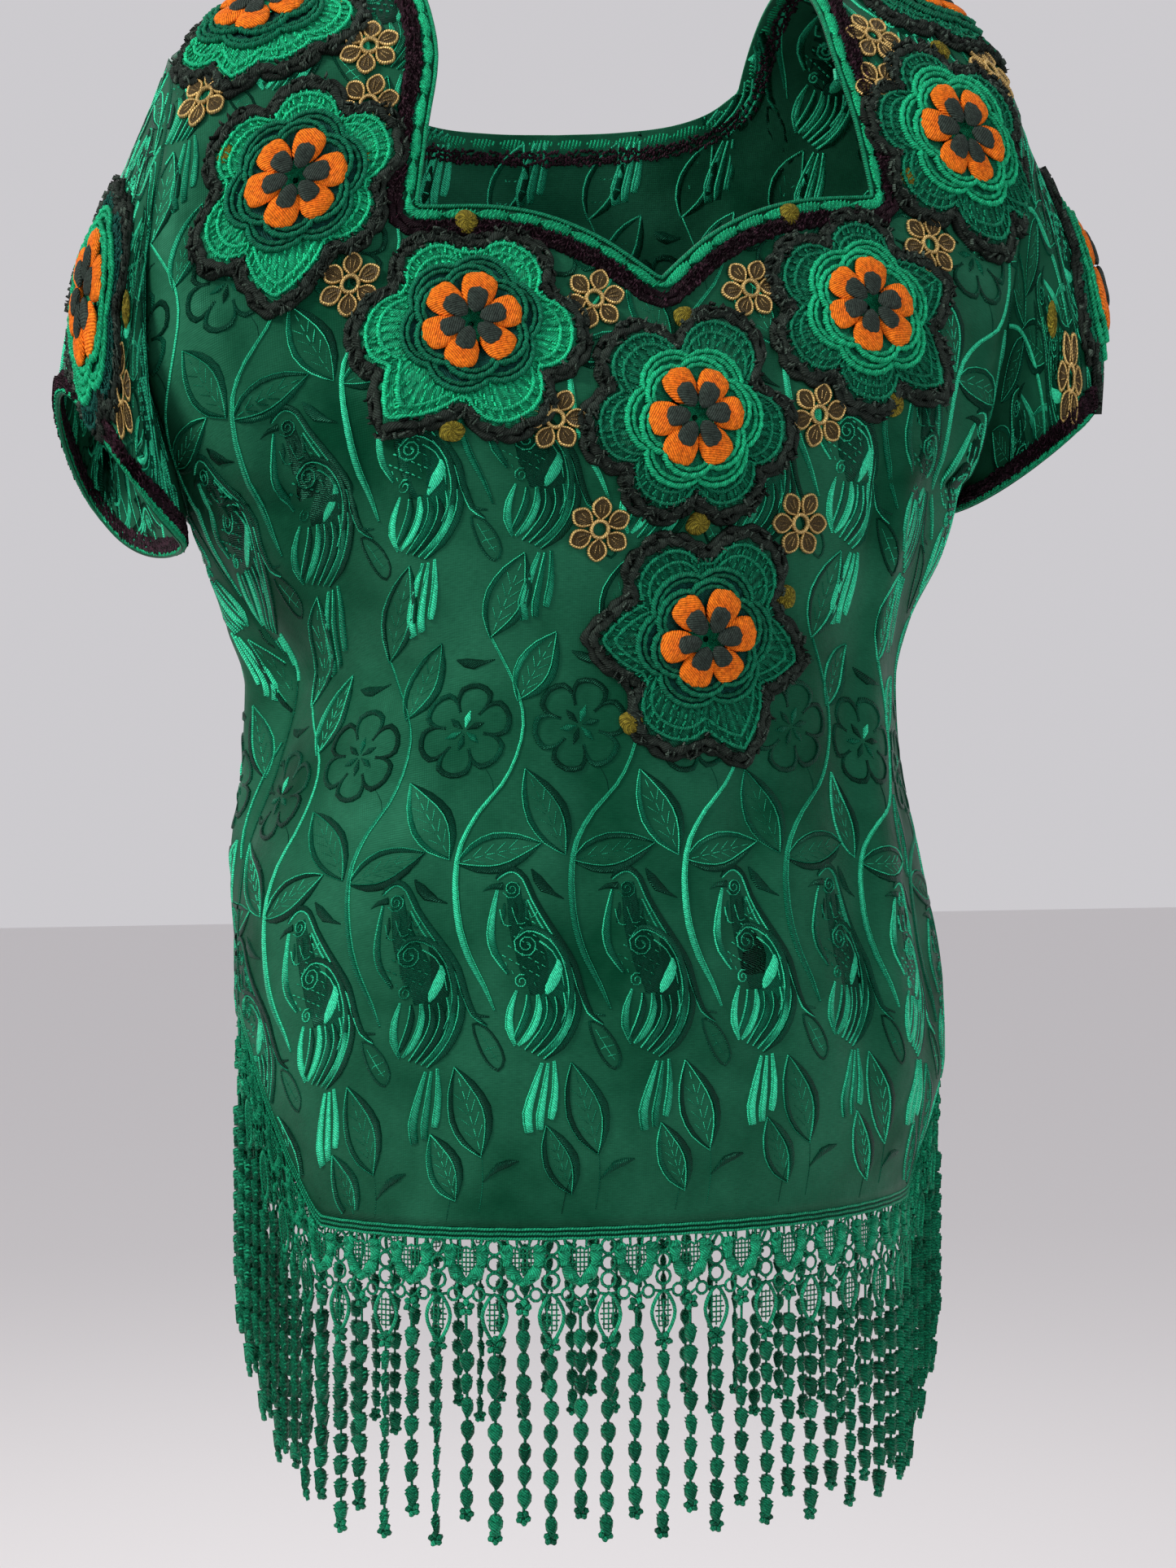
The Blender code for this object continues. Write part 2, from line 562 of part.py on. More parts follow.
def surface_normals(surface, a, b):
    """Unit normals of a surface, turned away from the wearer."""
    step = 1e-4
    du = surface.at(a + step, b) - surface.at(a - step, b)
    dv = surface.at(a, b + step) - surface.at(a, b - step)
    return unit(np.cross(du, dv)) * surface.outward


def clear_of(points, centre, obstacles):
    """Which points are clear of the obstacles: pairs of a place and the room that it takes. A place with no room
    of its own is another large flower, and the two share the space between them."""
    clear = np.ones(points.shape[:-1], bool)
    own = np.linalg.norm(points - centre, axis=-1)
    for place, room in obstacles:
        away = np.linalg.norm(points[..., None, :] - place, axis=-1).min(-1)
        clear &= away > (own + BESIDE if room is None else room + BESIDE)
    return clear


def petalled(name, surface, place, rings, valley, turn_deg, lift, radius, slot, middle_height, obstacles):
    """A flower as one closed solid: a fan in the middle, rings round it, and a rim. Its bottom lies on the
    surface with the clearance lift, and its petals end where an obstacle begins."""
    a0, b0 = place
    step = 1e-4
    along_a = (surface.at(a0 + step, b0) - surface.at(a0 - step, b0)) / (2 * step)
    along_b = (surface.at(a0, b0 + step) - surface.at(a0, b0 - step)) / (2 * step)
    metric = np.array([[along_a @ along_a, along_a @ along_b], [along_a @ along_b, along_b @ along_b]])
    to_params = np.linalg.inv(np.linalg.cholesky(metric).T)
    count = PETALS * PETAL_DIVISIONS
    around = (np.arange(count) + 0.5) / count * 2 * math.pi
    petal = np.abs(np.cos(around * PETALS / 2))
    angle = around + math.radians(turn_deg)
    spokes = np.stack([np.cos(angle), np.sin(angle)], axis=0)
    tried = np.linspace(0.2, 1.0, 41)[:, None] * radius
    a, b = np.einsum("ij,jrk->irk", to_params, tried * spokes[:, None, :])
    clear = clear_of(surface.at(a0 + a, b0 + b), surface.at(a0, b0), obstacles)
    free = np.where(clear.all(0), radius, tried[np.argmin(clear, axis=0), 0])
    top, bottom = [], []
    for share, rise in rings:
        reach = np.minimum(radius * share * (1 - (1 - valley) * share**2 * (1 - petal)), free * (0.8 + 0.2 * share))
        a, b = to_params @ (reach * spokes)
        points, normals = surface.at(a0 + a, b0 + b), surface_normals(surface, a0 + a, b0 + b)
        bottom.append(points + normals * lift)
        top.append(points + normals * (lift + rise))
    centre, normal = surface.at(a0, b0), surface_normals(surface, np.array(a0), np.array(b0))
    hubs = [[centre + normal * (lift + middle_height)], [centre + normal * lift]]
    points = np.concatenate([*top, *bottom, *hubs])
    under = len(rings) * count
    faces = []
    for k in range(count):
        n = (k + 1) % count
        faces.append((2 * under, k, n))
        faces.append((2 * under + 1, under + n, under + k))
        for r in range(len(rings) - 1):
            a, b, c, d = r * count + k, (r + 1) * count + k, (r + 1) * count + n, r * count + n
            faces.append((a, b, c, d))
            faces.append((under + a, under + d, under + c, under + b))
        last = (len(rings) - 1) * count
        faces.append((last + k, under + last + k, under + last + n, last + n))
    make_object(name, points, faces, slot)


def make_flower(flower, surface, place, obstacles):
    """A large flower: its base of petals, and the rosette on it."""
    name, turn, radius = flower.name, flower.turn_deg, flower.radius
    lift = ON_SLEEVE.get(flower.on, ON_SHOULDER if flower.drop < SHOULDER_DROP else ON_CLOTH)
    middle = BASE_RINGS[0][1]
    petalled(f"petals_{name}", surface, place, BASE_RINGS, BASE_VALLEY, turn, lift, radius, "petals", middle, obstacles)
    shares, rises = zip(*BASE_RINGS)
    lift += np.interp(ROSETTE_SHARE, shares, rises) + 2 * SEAM_GAP
    petalled(f"rosette_{name}", surface, place, [(1.0, ROSETTE_HEIGHT)], ROSETTE_VALLEY, turn, lift,
             radius * ROSETTE_SHARE, "rosette", ROSETTE_HEIGHT * ROSETTE_DISH, obstacles)


def make_blossom(blossom, surface, place, obstacles):
    lift, rings = BLOSSOM_ON_CLOTH, [(1.0, BLOSSOM_HEIGHT)]
    if blossom.on != "front":
        lift, rings = BLOSSOM_ON_SLEEVE, [(0.55, BLOSSOM_HEIGHT), (1.0, BLOSSOM_HEIGHT)]
    petalled(blossom.name, surface, place, rings, BLOSSOM_VALLEY, blossom.turn_deg, lift, BLOSSOM_RADIUS, "gold",
             BLOSSOM_HEIGHT, obstacles)


def hem_curve(side, grid, count):
    """Points along the edge of a panel's hem, spaced evenly but for those moved to its corners, and the panel's
    normals there."""
    across, drop, _ = grid
    edge = cloth(across[:, -1], drop[:, -1], side)
    normals = panel_normals(side, grid)[:, -1]
    lengths = np.concatenate([[0], np.cumsum(np.linalg.norm(np.diff(edge, axis=0), axis=1))])
    places = np.linspace(0, lengths[-1], count + 1)
    places[np.round(lengths / lengths[-1] * count).astype(int)] = lengths
    points = np.stack([np.interp(places, lengths, edge[:, k]) for k in range(3)], axis=1)
    return points, np.stack([np.interp(places, lengths, normals[:, k]) for k in range(3)], axis=1)


def make_lace(name, side, grid):
    """The lace: a header row, then rows with the largest gaps of each repeat cut through, and a scalloped edge."""
    count = LACE_REPEATS * LACE_COLUMNS
    top, out = hem_curve(side, grid, count)
    column = np.arange(count + 1) % LACE_COLUMNS
    end = LACE_DEPTH + LACE_SCALLOP * np.cos(column / LACE_COLUMNS * 2 * math.pi)
    levels = [np.full(count + 1, 2 * SEAM_GAP), np.full(count + 1, LACE_HEADER)]
    levels += [LACE_HEADER + (end - LACE_HEADER) / 2, end]
    outer = np.stack([top - level[:, None] * [0, 0, 1] for level in levels], axis=1)
    thick = np.array([1.0, 1.0, LACE_THIN, LACE_THIN])[None, :, None] * LACE_WALL
    cells = np.ones((count, len(levels) - 1), bool)
    for i in range(count):
        for j in range(len(levels) - 1):
            cells[i, j] = (i % LACE_COLUMNS, j) not in LACE_OPEN_CELLS
    wall(name, outer, outer - out[:, None, :] * thick, "lace", cells)
    return top, end, out


def make_fringe(name, lace):
    """The fringe: a narrow strip under the lace, with flat strands standing apart below it."""
    top, end, out = lace
    low = top - (end + 2 * SEAM_GAP)[:, None] * [0, 0, 1]
    back = -out * LACE_WALL * LACE_THIN
    down = np.array([0, 0, -FRINGE_STRIP])
    corners = np.stack([low, low + back, low + back + down, low + down], axis=1)
    points = list(corners.reshape(-1, 3))
    faces = []
    for i in range(len(low) - 1):
        a, b = 4 * i, 4 * (i + 1)
        faces += [(a, b, b + 3, a + 3), (a + 1, a + 2, b + 2, b + 1), (a, a + 1, b + 1, b)]
        if i % 2 == 0 or i == len(low) - 2:
            faces.append((a + 3, b + 3, b + 2, a + 2))
            continue
        faces += hang_strand(points, (a + 3, b + 3, b + 2, a + 2), i // 2)
    last = 4 * len(low) - 4
    faces += [(0, 3, 2, 1), (last, last + 1, last + 2, last + 3)]
    make_object(name, np.array(points), faces, "lace")


def hang_strand(points, root, number):
    """Adds one strand below the four root points, and returns its faces."""
    corners = np.array([points[i] for i in root])
    middle = corners.mean(0)
    along = unit((corners[1] - corners[0]) * [1, 1, 0])
    through = unit((corners[2] - corners[1]) * [1, 1, 0])
    outline, length = (STRAND_LONG, FRINGE_LONG) if number % 2 == 0 else (STRAND_SHORT, FRINGE_SHORT)
    faces, ring = [], list(root)
    widest = np.linalg.norm((corners[1] - corners[0])[:2])
    for share, width in outline:
        width = min(width, widest) if ring[0] == root[0] else width
        centre = middle - [0, 0, length * share]
        fresh = []
        for a, t in ((-1, -1), (1, -1), (1, 1), (-1, 1)):
            points.append(centre + along * a * width / 2 + through * t * width * FRINGE_FLAT / 2)
            fresh.append(len(points) - 1)
        for k in range(4):
            n = (k + 1) % 4
            faces.append((ring[k], ring[n], fresh[n], fresh[k]))
        ring = fresh
    faces.append(tuple(ring))
    return faces


for old in list(bpy.data.objects):
    bpy.data.objects.remove(old)

front_grid = panel_grid(-1, SWEETHEART, CENTRE_CELLS, STRAP_CELLS, YOKE_OUTER_Z, SWEETHEART[-1][0])
back_grid = panel_grid(1, BACK_NECK, BACK_CENTRE_CELLS, BACK_STRAP_CELLS, BACK_YOKE_OUTER_Z, BACK_NECK[-1][0])
panel("front", -1, front_grid)
panel("back", 1, back_grid)
surfaces = {"front": Surface(lambda a, d: cloth(a, d, -1), -1)}
for sleeve in SLEEVES:
    make_sleeve(sleeve)
    surfaces[f"sleeve_{sleeve.name}"] = Surface(sleeve_surface(sleeve)[0], sleeve.side)
neck_band = edging("neck_edging_front", -1, front_grid, STRAP_CELLS, CENTRE_CELLS)
edging("neck_edging_back", 1, back_grid, BACK_STRAP_CELLS, BACK_CENTRE_CELLS)
make_fringe("fringe_front", make_lace("lace_front", -1, front_grid))
make_fringe("fringe_back", make_lace("lace_back", 1, back_grid))
places = {}
for piece in FLOWERS + BLOSSOMS:
    places[piece] = (piece.across if piece.on == "front" else math.radians(piece.across), piece.drop)
centres = {piece: surfaces[piece.on].at(*places[piece])[None] for piece in places}
sleeve_edges = [surfaces[f"sleeve_{s.name}"].at(np.linspace(0, 2 * math.pi, 120), 1.0) for s in SLEEVES]
armholes = [armhole_loop(s.side) for s in SLEEVES]
edges = [(neck_band, 0.0)] + [(edge, SLEEVE_EDGING_WIDTH) for edge in sleeve_edges]
edges += [(loop, ARMHOLE_ROOM) for loop in armholes]
for piece in BLOSSOMS:
    make_blossom(piece, surfaces[piece.on], places[piece], edges)
for piece in FLOWERS:
    near = edges + [(centres[other], None) for other in FLOWERS if other != piece]
    near += [(centres[other], BLOSSOM_RADIUS) for other in BLOSSOMS]
    make_flower(piece, surfaces[piece.on], places[piece], near)
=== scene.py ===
"""The looks of an embroidered silk blouse with crochet flowers, a guipure lace hem and a knotted fringe.
Metres, +Z up. The front faces -Y, and -X is the wearer's right. Motifs are drawn flat in millimetres, then
laid on the cloth through a flat map of each panel: u runs sideways round the body, v down from the shoulder
seam."""

import collections
import math

import bmesh
import bpy
import mathutils
import numpy as np
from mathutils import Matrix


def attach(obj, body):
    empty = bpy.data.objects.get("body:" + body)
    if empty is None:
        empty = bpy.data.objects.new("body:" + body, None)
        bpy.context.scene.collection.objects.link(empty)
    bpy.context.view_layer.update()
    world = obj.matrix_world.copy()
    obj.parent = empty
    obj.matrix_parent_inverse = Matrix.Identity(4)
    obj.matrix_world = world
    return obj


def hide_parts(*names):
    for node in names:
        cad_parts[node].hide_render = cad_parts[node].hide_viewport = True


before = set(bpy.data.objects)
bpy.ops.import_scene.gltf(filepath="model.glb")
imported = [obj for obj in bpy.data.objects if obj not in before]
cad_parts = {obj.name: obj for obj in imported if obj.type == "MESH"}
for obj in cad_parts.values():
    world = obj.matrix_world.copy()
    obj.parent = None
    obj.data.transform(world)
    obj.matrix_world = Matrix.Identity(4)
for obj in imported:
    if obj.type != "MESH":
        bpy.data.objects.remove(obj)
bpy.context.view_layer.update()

MM = 0.001

# Body form: height, half width on the wearer's right (-X) and left (+X), depth of the front and of the back
Section = collections.namedtuple("Section", "z right_half left_half front back")
SECTIONS = [
    Section(0.000, 0.232, 0.228, 0.062, 0.062),
    Section(-0.056, 0.238, 0.227, 0.074, 0.076),
    Section(-0.100, 0.246, 0.224, 0.084, 0.088),
    Section(-0.150, 0.254, 0.219, 0.093, 0.098),
    Section(-0.200, 0.255, 0.214, 0.108, 0.105),
    Section(-0.250, 0.241, 0.210, 0.125, 0.107),
    Section(-0.285, 0.226, 0.208, 0.129, 0.105),
    Section(-0.320, 0.208, 0.197, 0.127, 0.101),
    Section(-0.350, 0.189, 0.179, 0.124, 0.098),
    Section(-0.385, 0.168, 0.170, 0.120, 0.097),
    Section(-0.430, 0.178, 0.174, 0.120, 0.104),
    Section(-0.480, 0.196, 0.184, 0.125, 0.116),
    Section(-0.547, 0.200, 0.197, 0.132, 0.128),
    Section(-0.590, 0.195, 0.199, 0.133, 0.127),
    Section(-0.620, 0.188, 0.192, 0.131, 0.125),
    Section(-0.661, 0.178, 0.178, 0.126, 0.121),
    Section(-0.720, 0.175, 0.175, 0.124, 0.119),
    Section(-0.860, 0.173, 0.173, 0.122, 0.118),
]
BACK_SLACK = [(-0.285, 0.0), (-0.330, 0.016), (-0.385, 0.036), (-0.440, 0.024), (-0.520, 0.0)]
BACK_SLACK_LEFT = 0.30
LEAN = 0.092
LEAN_FROM_Z = -0.200
LEAN_TO_Z = -0.420
SHOULDER_CAP = 0.075
SHOULDER_HALF = 0.232
SHOULDER_LINE = [
    (0.000, 0.000), (0.109, 0.000), (0.150, -0.005), (0.190, -0.014), (0.215, -0.025), (0.232, -0.039),
]
ROUNDNESS = 2.2
SEAM_GAP = 0.0003
SLEEVE_SEAM = 0.0009
ARMHOLE_EDGE = [(-0.150, 0.078), (-0.100, 0.072), (-0.056, 0.060), (0.000, 0.056)]
ARMHOLE_WIDEST_Z = -0.150
ARMHOLE_RIGHT_FRONT = 0.66
UNDERARM_Z = -0.285

# Neckline and hem
STRAP_EDGE = [(0.00, 0.109), (0.50, 0.1085), (0.80, 0.118), (1.00, 0.124)]
SWEETHEART = [
    (0.000, -0.180), (0.012, -0.170), (0.028, -0.158), (0.055, -0.145), (0.080, -0.139), (0.124, -0.137),
]
BACK_NECK = [(0.000, -0.062), (0.040, -0.061), (0.075, -0.057), (0.095, -0.050), (0.108, -0.040)]
BACK_STRAP_EDGE = [(0.00, 0.109), (1.00, 0.108)]
YOKE_OUTER_Z = -0.150
BACK_YOKE_OUTER_Z = -0.150
HEM_Z = -0.661
HEM_NOTCH_RISE = 0.105
HEM_NOTCH_FROM_DEG = 68.0

# Folds: from (x, z) to (x, z), half width across, depth (out is positive). The solids have FOLDS, not CREASES
Fold = collections.namedtuple("Fold", "x0 z0 x1 z1 width depth")
FRONT, BACK = -1, 1
FOLDS = {
    FRONT: [
        (-0.205, -0.235, -0.132, -0.405, 0.021, -0.016), (-0.158, -0.380, -0.178, -0.560, 0.012, -0.007),
        (0.186, -0.205, 0.150, -0.380, 0.013, -0.012), (0.206, -0.180, 0.190, -0.330, 0.011, 0.008),
        (0.104, -0.330, 0.112, -0.610, 0.012, -0.009), (0.131, -0.350, 0.138, -0.610, 0.012, 0.007),
        (0.156, -0.370, 0.163, -0.610, 0.012, -0.009),
    ],
    BACK: [
        (-0.180, -0.210, -0.110, -0.420, 0.020, -0.015), (0.170, -0.210, 0.115, -0.400, 0.018, -0.014),
        (-0.060, -0.330, -0.075, -0.610, 0.015, -0.010), (0.065, -0.330, 0.080, -0.610, 0.015, -0.010),
        (0.000, -0.280, 0.002, -0.600, 0.018, 0.008),
    ],
}
CREASES = {
    FRONT: [
        (-0.232, -0.170, -0.176, -0.372, 0.009, 0.006), (-0.180, -0.205, -0.120, -0.330, 0.008, -0.005),
        (-0.150, -0.200, -0.118, -0.390, 0.007, 0.004), (-0.222, -0.285, -0.150, -0.395, 0.006, -0.004),
        (0.166, -0.200, 0.132, -0.345, 0.007, 0.004), (0.120, -0.250, 0.118, -0.400, 0.007, -0.005),
        (0.140, -0.250, 0.128, -0.380, 0.006, 0.003), (-0.120, -0.420, -0.150, -0.600, 0.010, 0.003),
        (-0.040, -0.380, -0.052, -0.600, 0.016, -0.003), (0.040, -0.420, 0.046, -0.600, 0.014, -0.003),
        (0.176, -0.420, 0.186, -0.560, 0.008, 0.004),
    ],
    BACK: [
        (-0.130, -0.080, -0.100, -0.260, 0.016, -0.005), (0.130, -0.080, 0.095, -0.280, 0.016, -0.005),
        (-0.110, -0.360, -0.130, -0.600, 0.010, 0.005), (0.120, -0.380, 0.140, -0.610, 0.011, 0.006),
        (-0.160, -0.300, -0.130, -0.470, 0.009, 0.006), (0.030, -0.380, 0.038, -0.590, 0.009, 0.003),
    ],
}
CREASE_MORE = 1.35

# Sleeves
Sleeve = collections.namedtuple(
    "Sleeve", "name side outer_x outer_z under_x under_z half_depth front_drop back_drop swell"
)
SLEEVES = [
    Sleeve("right", -1, 0.292, -0.240, 0.232, -0.320, 0.084, 0.020, 0.014, 0.008),
    Sleeve("left", 1, 0.283, -0.224, 0.214, -0.284, 0.084, -0.006, 0.004, 0.020),
]
HEM_TURN = 0.32
SLEEVE_SWELL_SIDE = 0.005
SWELL_OUT, SWELL_UP = 0.92, 0.39
SWELL_PEAK = 6.75
ARMHOLE_POINTS = 22  # the sleeve's head has the solid's corners, so its points match

# Cloth grids
CENTRE_CELLS, STRAP_CELLS = 40, 30
STRAP_ROWS, ARMHOLE_ROWS, LOWER_ROWS = 18, 16, 66
SLEEVE_AROUND, SLEEVE_DOWN = 132, 30
CLOTH_THICK = 0.0006
SET_IN = 0.0003  # the embroidery's middle lies this far under the cloth's outer face

# Embroidery repeat
COLUMN_PITCH = 0.0585
COLUMN_AT = -0.0105
REPEAT = 0.256
BIRD_DROP = 0.579  # of the lowest row of birds
BIRD_ROWS = 3
PANEL_REACH = 0.33
SLEEVE_PITCH, SLEEVE_SCALE = 0.046, 0.8

# Large crochet flowers, placed as the solids are
Flower = collections.namedtuple("Flower", "name on across drop radius turn style lobes")
FLOWERS = [
    Flower("shoulder_right", "front", -0.815, 0.040, 0.058, 10, "bright",
           [(280, 54, 0), (245, 60, 1), (318, 58, 0), (205, 55, 0), (20, 55, 0), (100, 55, 0)]),
    Flower("chest_right", "front", -0.738, 0.157, 0.063, 5, "bright",
           [(135, 54, 0), (18, 56, 0), (320, 50, 0), (258, 65, 1), (203, 55, 0), (78, 52, 0)]),
    Flower("bust_right", "front", -0.400, 0.246, 0.064, 12, "bright",
           [(118, 52, 0), (52, 55, 0), (350, 58, 0), (293, 60, 0), (224, 68, 1), (180, 59, 0)]),
    Flower("centre", "front", 0.038, 0.300, 0.058, 0, "mixed",
           [(130, 58, 0), (62, 60, 0), (350, 55, 0), (300, 52, 0), (240, 52, 0), (185, 56, 0)]),
    Flower("low_centre", "front", 0.090, 0.409, 0.063, 8, "dark",
           [(181, 60, 1), (248, 60, 0), (292, 66, 1), (350, 60, 1), (56, 58, 0), (125, 55, 0)]),
    Flower("bust_left", "front", 0.528, 0.243, 0.058, 20, "mixed",
           [(150, 56, 0), (90, 52, 0), (25, 58, 1), (322, 60, 1), (265, 54, 0), (208, 56, 0)]),
    Flower("chest_left", "front", 0.800, 0.135, 0.060, 0, "mixed",
           [(120, 52, 0), (50, 52, 0), (345, 60, 1), (290, 58, 0), (235, 56, 0), (180, 54, 0)]),
    Flower("shoulder_left", "front", 0.820, 0.020, 0.056, 15, "dark",
           [(280, 52, 0), (235, 55, 0), (325, 56, 1), (185, 52, 0), (20, 52, 0), (100, 52, 0)]),
    Flower("sleeve_right", "sleeve_right", 43, 0.67, 0.052, 5, "shade",
           [(140, 50, 0), (75, 52, 0), (15, 50, 0), (320, 50, 0), (255, 50, 1), (200, 52, 0)]),
    Flower("sleeve_left", "sleeve_left", 38, 0.60, 0.052, 10, "mixed",
           [(150, 50, 0), (90, 52, 0), (25, 50, 0), (322, 50, 0), (265, 50, 1), (208, 52, 0)]),
]
Blossom = collections.namedtuple("Blossom", "name on across drop turn")
BLOSSOMS = [Blossom(f"gold_{number:02d}", *row) for number, row in enumerate([
    ("front", -0.935, 0.089, 0), ("front", -0.605, 0.090, 15), ("front", -0.605, 0.123, 5),
    ("front", -0.627, 0.216, 20), ("front", -0.145, 0.234, 10), ("front", -0.265, 0.297, 0),
    ("front", -0.193, 0.354, 25), ("front", 0.338, 0.352, 0), ("front", 0.376, 0.299, 12),
    ("front", 0.225, 0.231, 5), ("front", 0.720, 0.200, 18), ("front", 0.600, 0.084, 0),
    ("front", 0.600, 0.117, 8), ("front", 0.925, 0.079, 20), ("sleeve_right", 82, 0.74, 0),
    ("sleeve_left", 98, 0.74, 0),
], start=1)]
# Small crocheted dots: what they lie on, and their place as the flowers'
DOTS = [
    ("front", -0.880, 0.130), ("front", -0.610, 0.152), ("front", -0.395, 0.190), ("front", 0.050, 0.245),
    ("front", 0.345, 0.190), ("front", 0.660, 0.165), ("front", -0.480, 0.300), ("front", 0.052, 0.352),
    ("front", 0.600, 0.290), ("front", 0.340, 0.388), ("front", -0.125, 0.452), ("front", 0.780, 0.082),
    ("front", -0.930, 0.050), ("sleeve_right", 72, 0.50), ("sleeve_left", 95, 0.45), ("front", -0.640, 0.052),
]
DOT_RADIUS = 0.0062
PETALS = 6  # in a rosette or a gold flower

# Lace and fringe
LACE_REPEATS = 22
LACE_BACK = 0.0009  # the lace's middle lies this far behind the hem's face
FRINGE_TOP = 0.0446
FRINGE_LONG = 0.116
FRINGE_SHORT = 0.104

# Thread colours, linear
# Satin runs from dark thread through mid green to a painted highlight; each stroke's tone, raised by painted
# sheen, picks the mix
SATIN_DARK, SATIN_MID, SATIN_PAINTED_HIGHLIGHT = (0.0003, 0.0105, 0.0055), (0.0030, 0.120, 0.060), (0.045, 0.730, 0.390)
GREEN, GREEN_DARK = (0.010, 0.390, 0.175), (0.004, 0.145, 0.072)
TEAL = (0.004, 0.055, 0.042)
CHARCOAL, PLUM = (0.013, 0.019, 0.015), (0.008, 0.003, 0.005)
SLATE = (0.034, 0.050, 0.041)
ORANGE, ORANGE_DEEP = (0.930, 0.210, 0.012), (0.700, 0.085, 0.004)
GOLD, GOLD_DARK, OLIVE = (0.360, 0.245, 0.088), (0.150, 0.090, 0.024), (0.250, 0.200, 0.022)
# Lace runs from dark thread to a painted highlight, which its rims and hooks reach
LACE_GREEN, LACE_PAINTED_HIGHLIGHT = (0.0008, 0.020, 0.010), (0.0160, 0.380, 0.185)
SILK = (0.010, 0.088, 0.047)
GREEN_GLEAM = (0.12, 1.0, 0.58, 1)
WEAVE_SCALE = 260.0


def smooth(x, table):
    """Reads a smooth curve through (x, y) pairs, which run up or down in x."""
    xs, ys = np.array(sorted(table), float).T[:2]
    steps = np.diff(ys) / np.diff(xs)
    slopes = np.concatenate([steps[:1], (steps[:-1] + steps[1:]) / 2, steps[-1:]])
    flat = np.concatenate([[False], steps[:-1] * steps[1:] <= 0, [False]])
    slopes[flat] = 0.0
    x = np.clip(np.asarray(x, float), xs[0], xs[-1])
    i = np.clip(np.searchsorted(xs, x, side="right") - 1, 0, len(xs) - 2)
    width = xs[i + 1] - xs[i]
    t = (x - xs[i]) / width
    return (
        (2 * t**3 - 3 * t**2 + 1) * ys[i]
        + (t**3 - 2 * t**2 + t) * width * slopes[i]
        + (3 * t**2 - 2 * t**3) * ys[i + 1]
        + (t**3 - t**2) * width * slopes[i + 1]
    )


def half_width(z, across):
    right = smooth(z, [(s.z, s.right_half) for s in SECTIONS])
    left = smooth(z, [(s.z, s.left_half) for s in SECTIONS])
    return np.where(np.asarray(across) < 0, right, left)


def depth(z, side):
    front = smooth(z, [(s.z, s.front) for s in SECTIONS])
    back = smooth(z, [(s.z, s.back) for s in SECTIONS])
    return np.where(side < 0, front, back)


def edge_depth(z, across, side):
    """How far a panel's outer edge stands from the side plane: the armhole's half opening, 0 below it."""
    closing = np.clip((ARMHOLE_WIDEST_Z - z) / (ARMHOLE_WIDEST_Z - UNDERARM_Z), 0, 1)
    share = np.where((across < 0) & (side < 0), ARMHOLE_RIGHT_FRONT, 1.0)
    return smooth(z, ARMHOLE_EDGE) * np.sqrt(1 - closing**2) * share


def fold_depth(x, z, side):
    total = np.zeros(np.broadcast(x, z).shape)
    rows = [(wanted, row, 1.0) for wanted in (FRONT, BACK) for row in FOLDS[wanted]]
    rows += [(wanted, row, CREASE_MORE) for wanted in (FRONT, BACK) for row in CREASES[wanted]]
    for wanted, row, more in rows:
        fold = Fold(*row)
        start = np.array([fold.x0, fold.z0])
        run = np.array([fold.x1, fold.z1]) - start
        length = math.hypot(*run)
        along = ((x - start[0]) * run[0] + (z - start[1]) * run[1]) / length**2
        off = ((x - start[0]) * run[1] - (z - start[1]) * run[0]) / length
        ends = np.clip(1 - (2 * along - 1) ** 4, 0, 1) * ((along > 0) & (along < 1))
        bump = fold.depth * more * np.exp(-((off / fold.width) ** 2)) * ends
        total = total + np.where(side == wanted, bump, 0)
    return total


def height(across, drop):
    """Height of a point of a panel before the yoke's lean, and how far it has turned over the shoulder."""
    arc = SHOULDER_CAP * math.pi / 2
    turn = np.clip(drop / arc, 0, 1) * math.pi / 2
    top = smooth(np.abs(across) * SHOULDER_HALF, SHOULDER_LINE)
    return top - SHOULDER_CAP * (1 - np.cos(turn)) - np.maximum(drop - arc, 0), turn


def cloth(across, drop, side):
    """Points of a panel's outer face, from the share of the half width and the length below the shoulder."""
    across, drop = np.broadcast_arrays(np.asarray(across, float), np.asarray(drop, float))
    side = np.where(drop < 0, -side, side)
    z, turn = height(across, np.abs(drop))
    edge = edge_depth(z, across, side)
    round_off = np.sqrt(np.clip(1 - np.abs(across) ** ROUNDNESS, 0, 1))
    slack = smooth(z, BACK_SLACK) * (side > 0) * np.where(across < 0, -1, BACK_SLACK_LEFT)
    x = across * half_width(z, across) + slack * np.sin(math.pi * round_off)
    y = edge + (depth(z, side) - edge + fold_depth(x, z, side)) * round_off
    fade = np.clip((z - LEAN_TO_Z) / (LEAN_FROM_Z - LEAN_TO_Z), 0, 1)
    z = z + LEAN * x * fade**2 * (3 - 2 * fade)
    return np.stack([x, side * (y * np.sin(turn) + SEAM_GAP / 2), z], axis=-1)


def drop_at(across, z):
    top = smooth(np.abs(across) * SHOULDER_HALF, SHOULDER_LINE)
    return SHOULDER_CAP * math.pi / 2 + top - SHOULDER_CAP - z


def hem_z(across):
    angle = np.degrees(np.arcsin(np.clip(np.abs(across), 0, 1)))
    t = np.clip((angle - HEM_NOTCH_FROM_DEG) / (90 - HEM_NOTCH_FROM_DEG), 0, 1)
    return HEM_Z + HEM_NOTCH_RISE * t * t * (3 - 2 * t)


def unit(vectors):
    return vectors / np.maximum(np.linalg.norm(vectors, axis=-1, keepdims=True), 1e-12)


def lengths_along(points):
    """The length from a line's first point to each of its points."""
    return np.concatenate([[0], np.cumsum(np.linalg.norm(np.diff(points, axis=0), axis=1))])


def around(count):
    """Angles once round, the first at 0."""
    return np.arange(count) / count * 2 * math.pi


def heading(angle):
    """The direction at an angle from the x axis."""
    return np.array([math.cos(angle), math.sin(angle)])


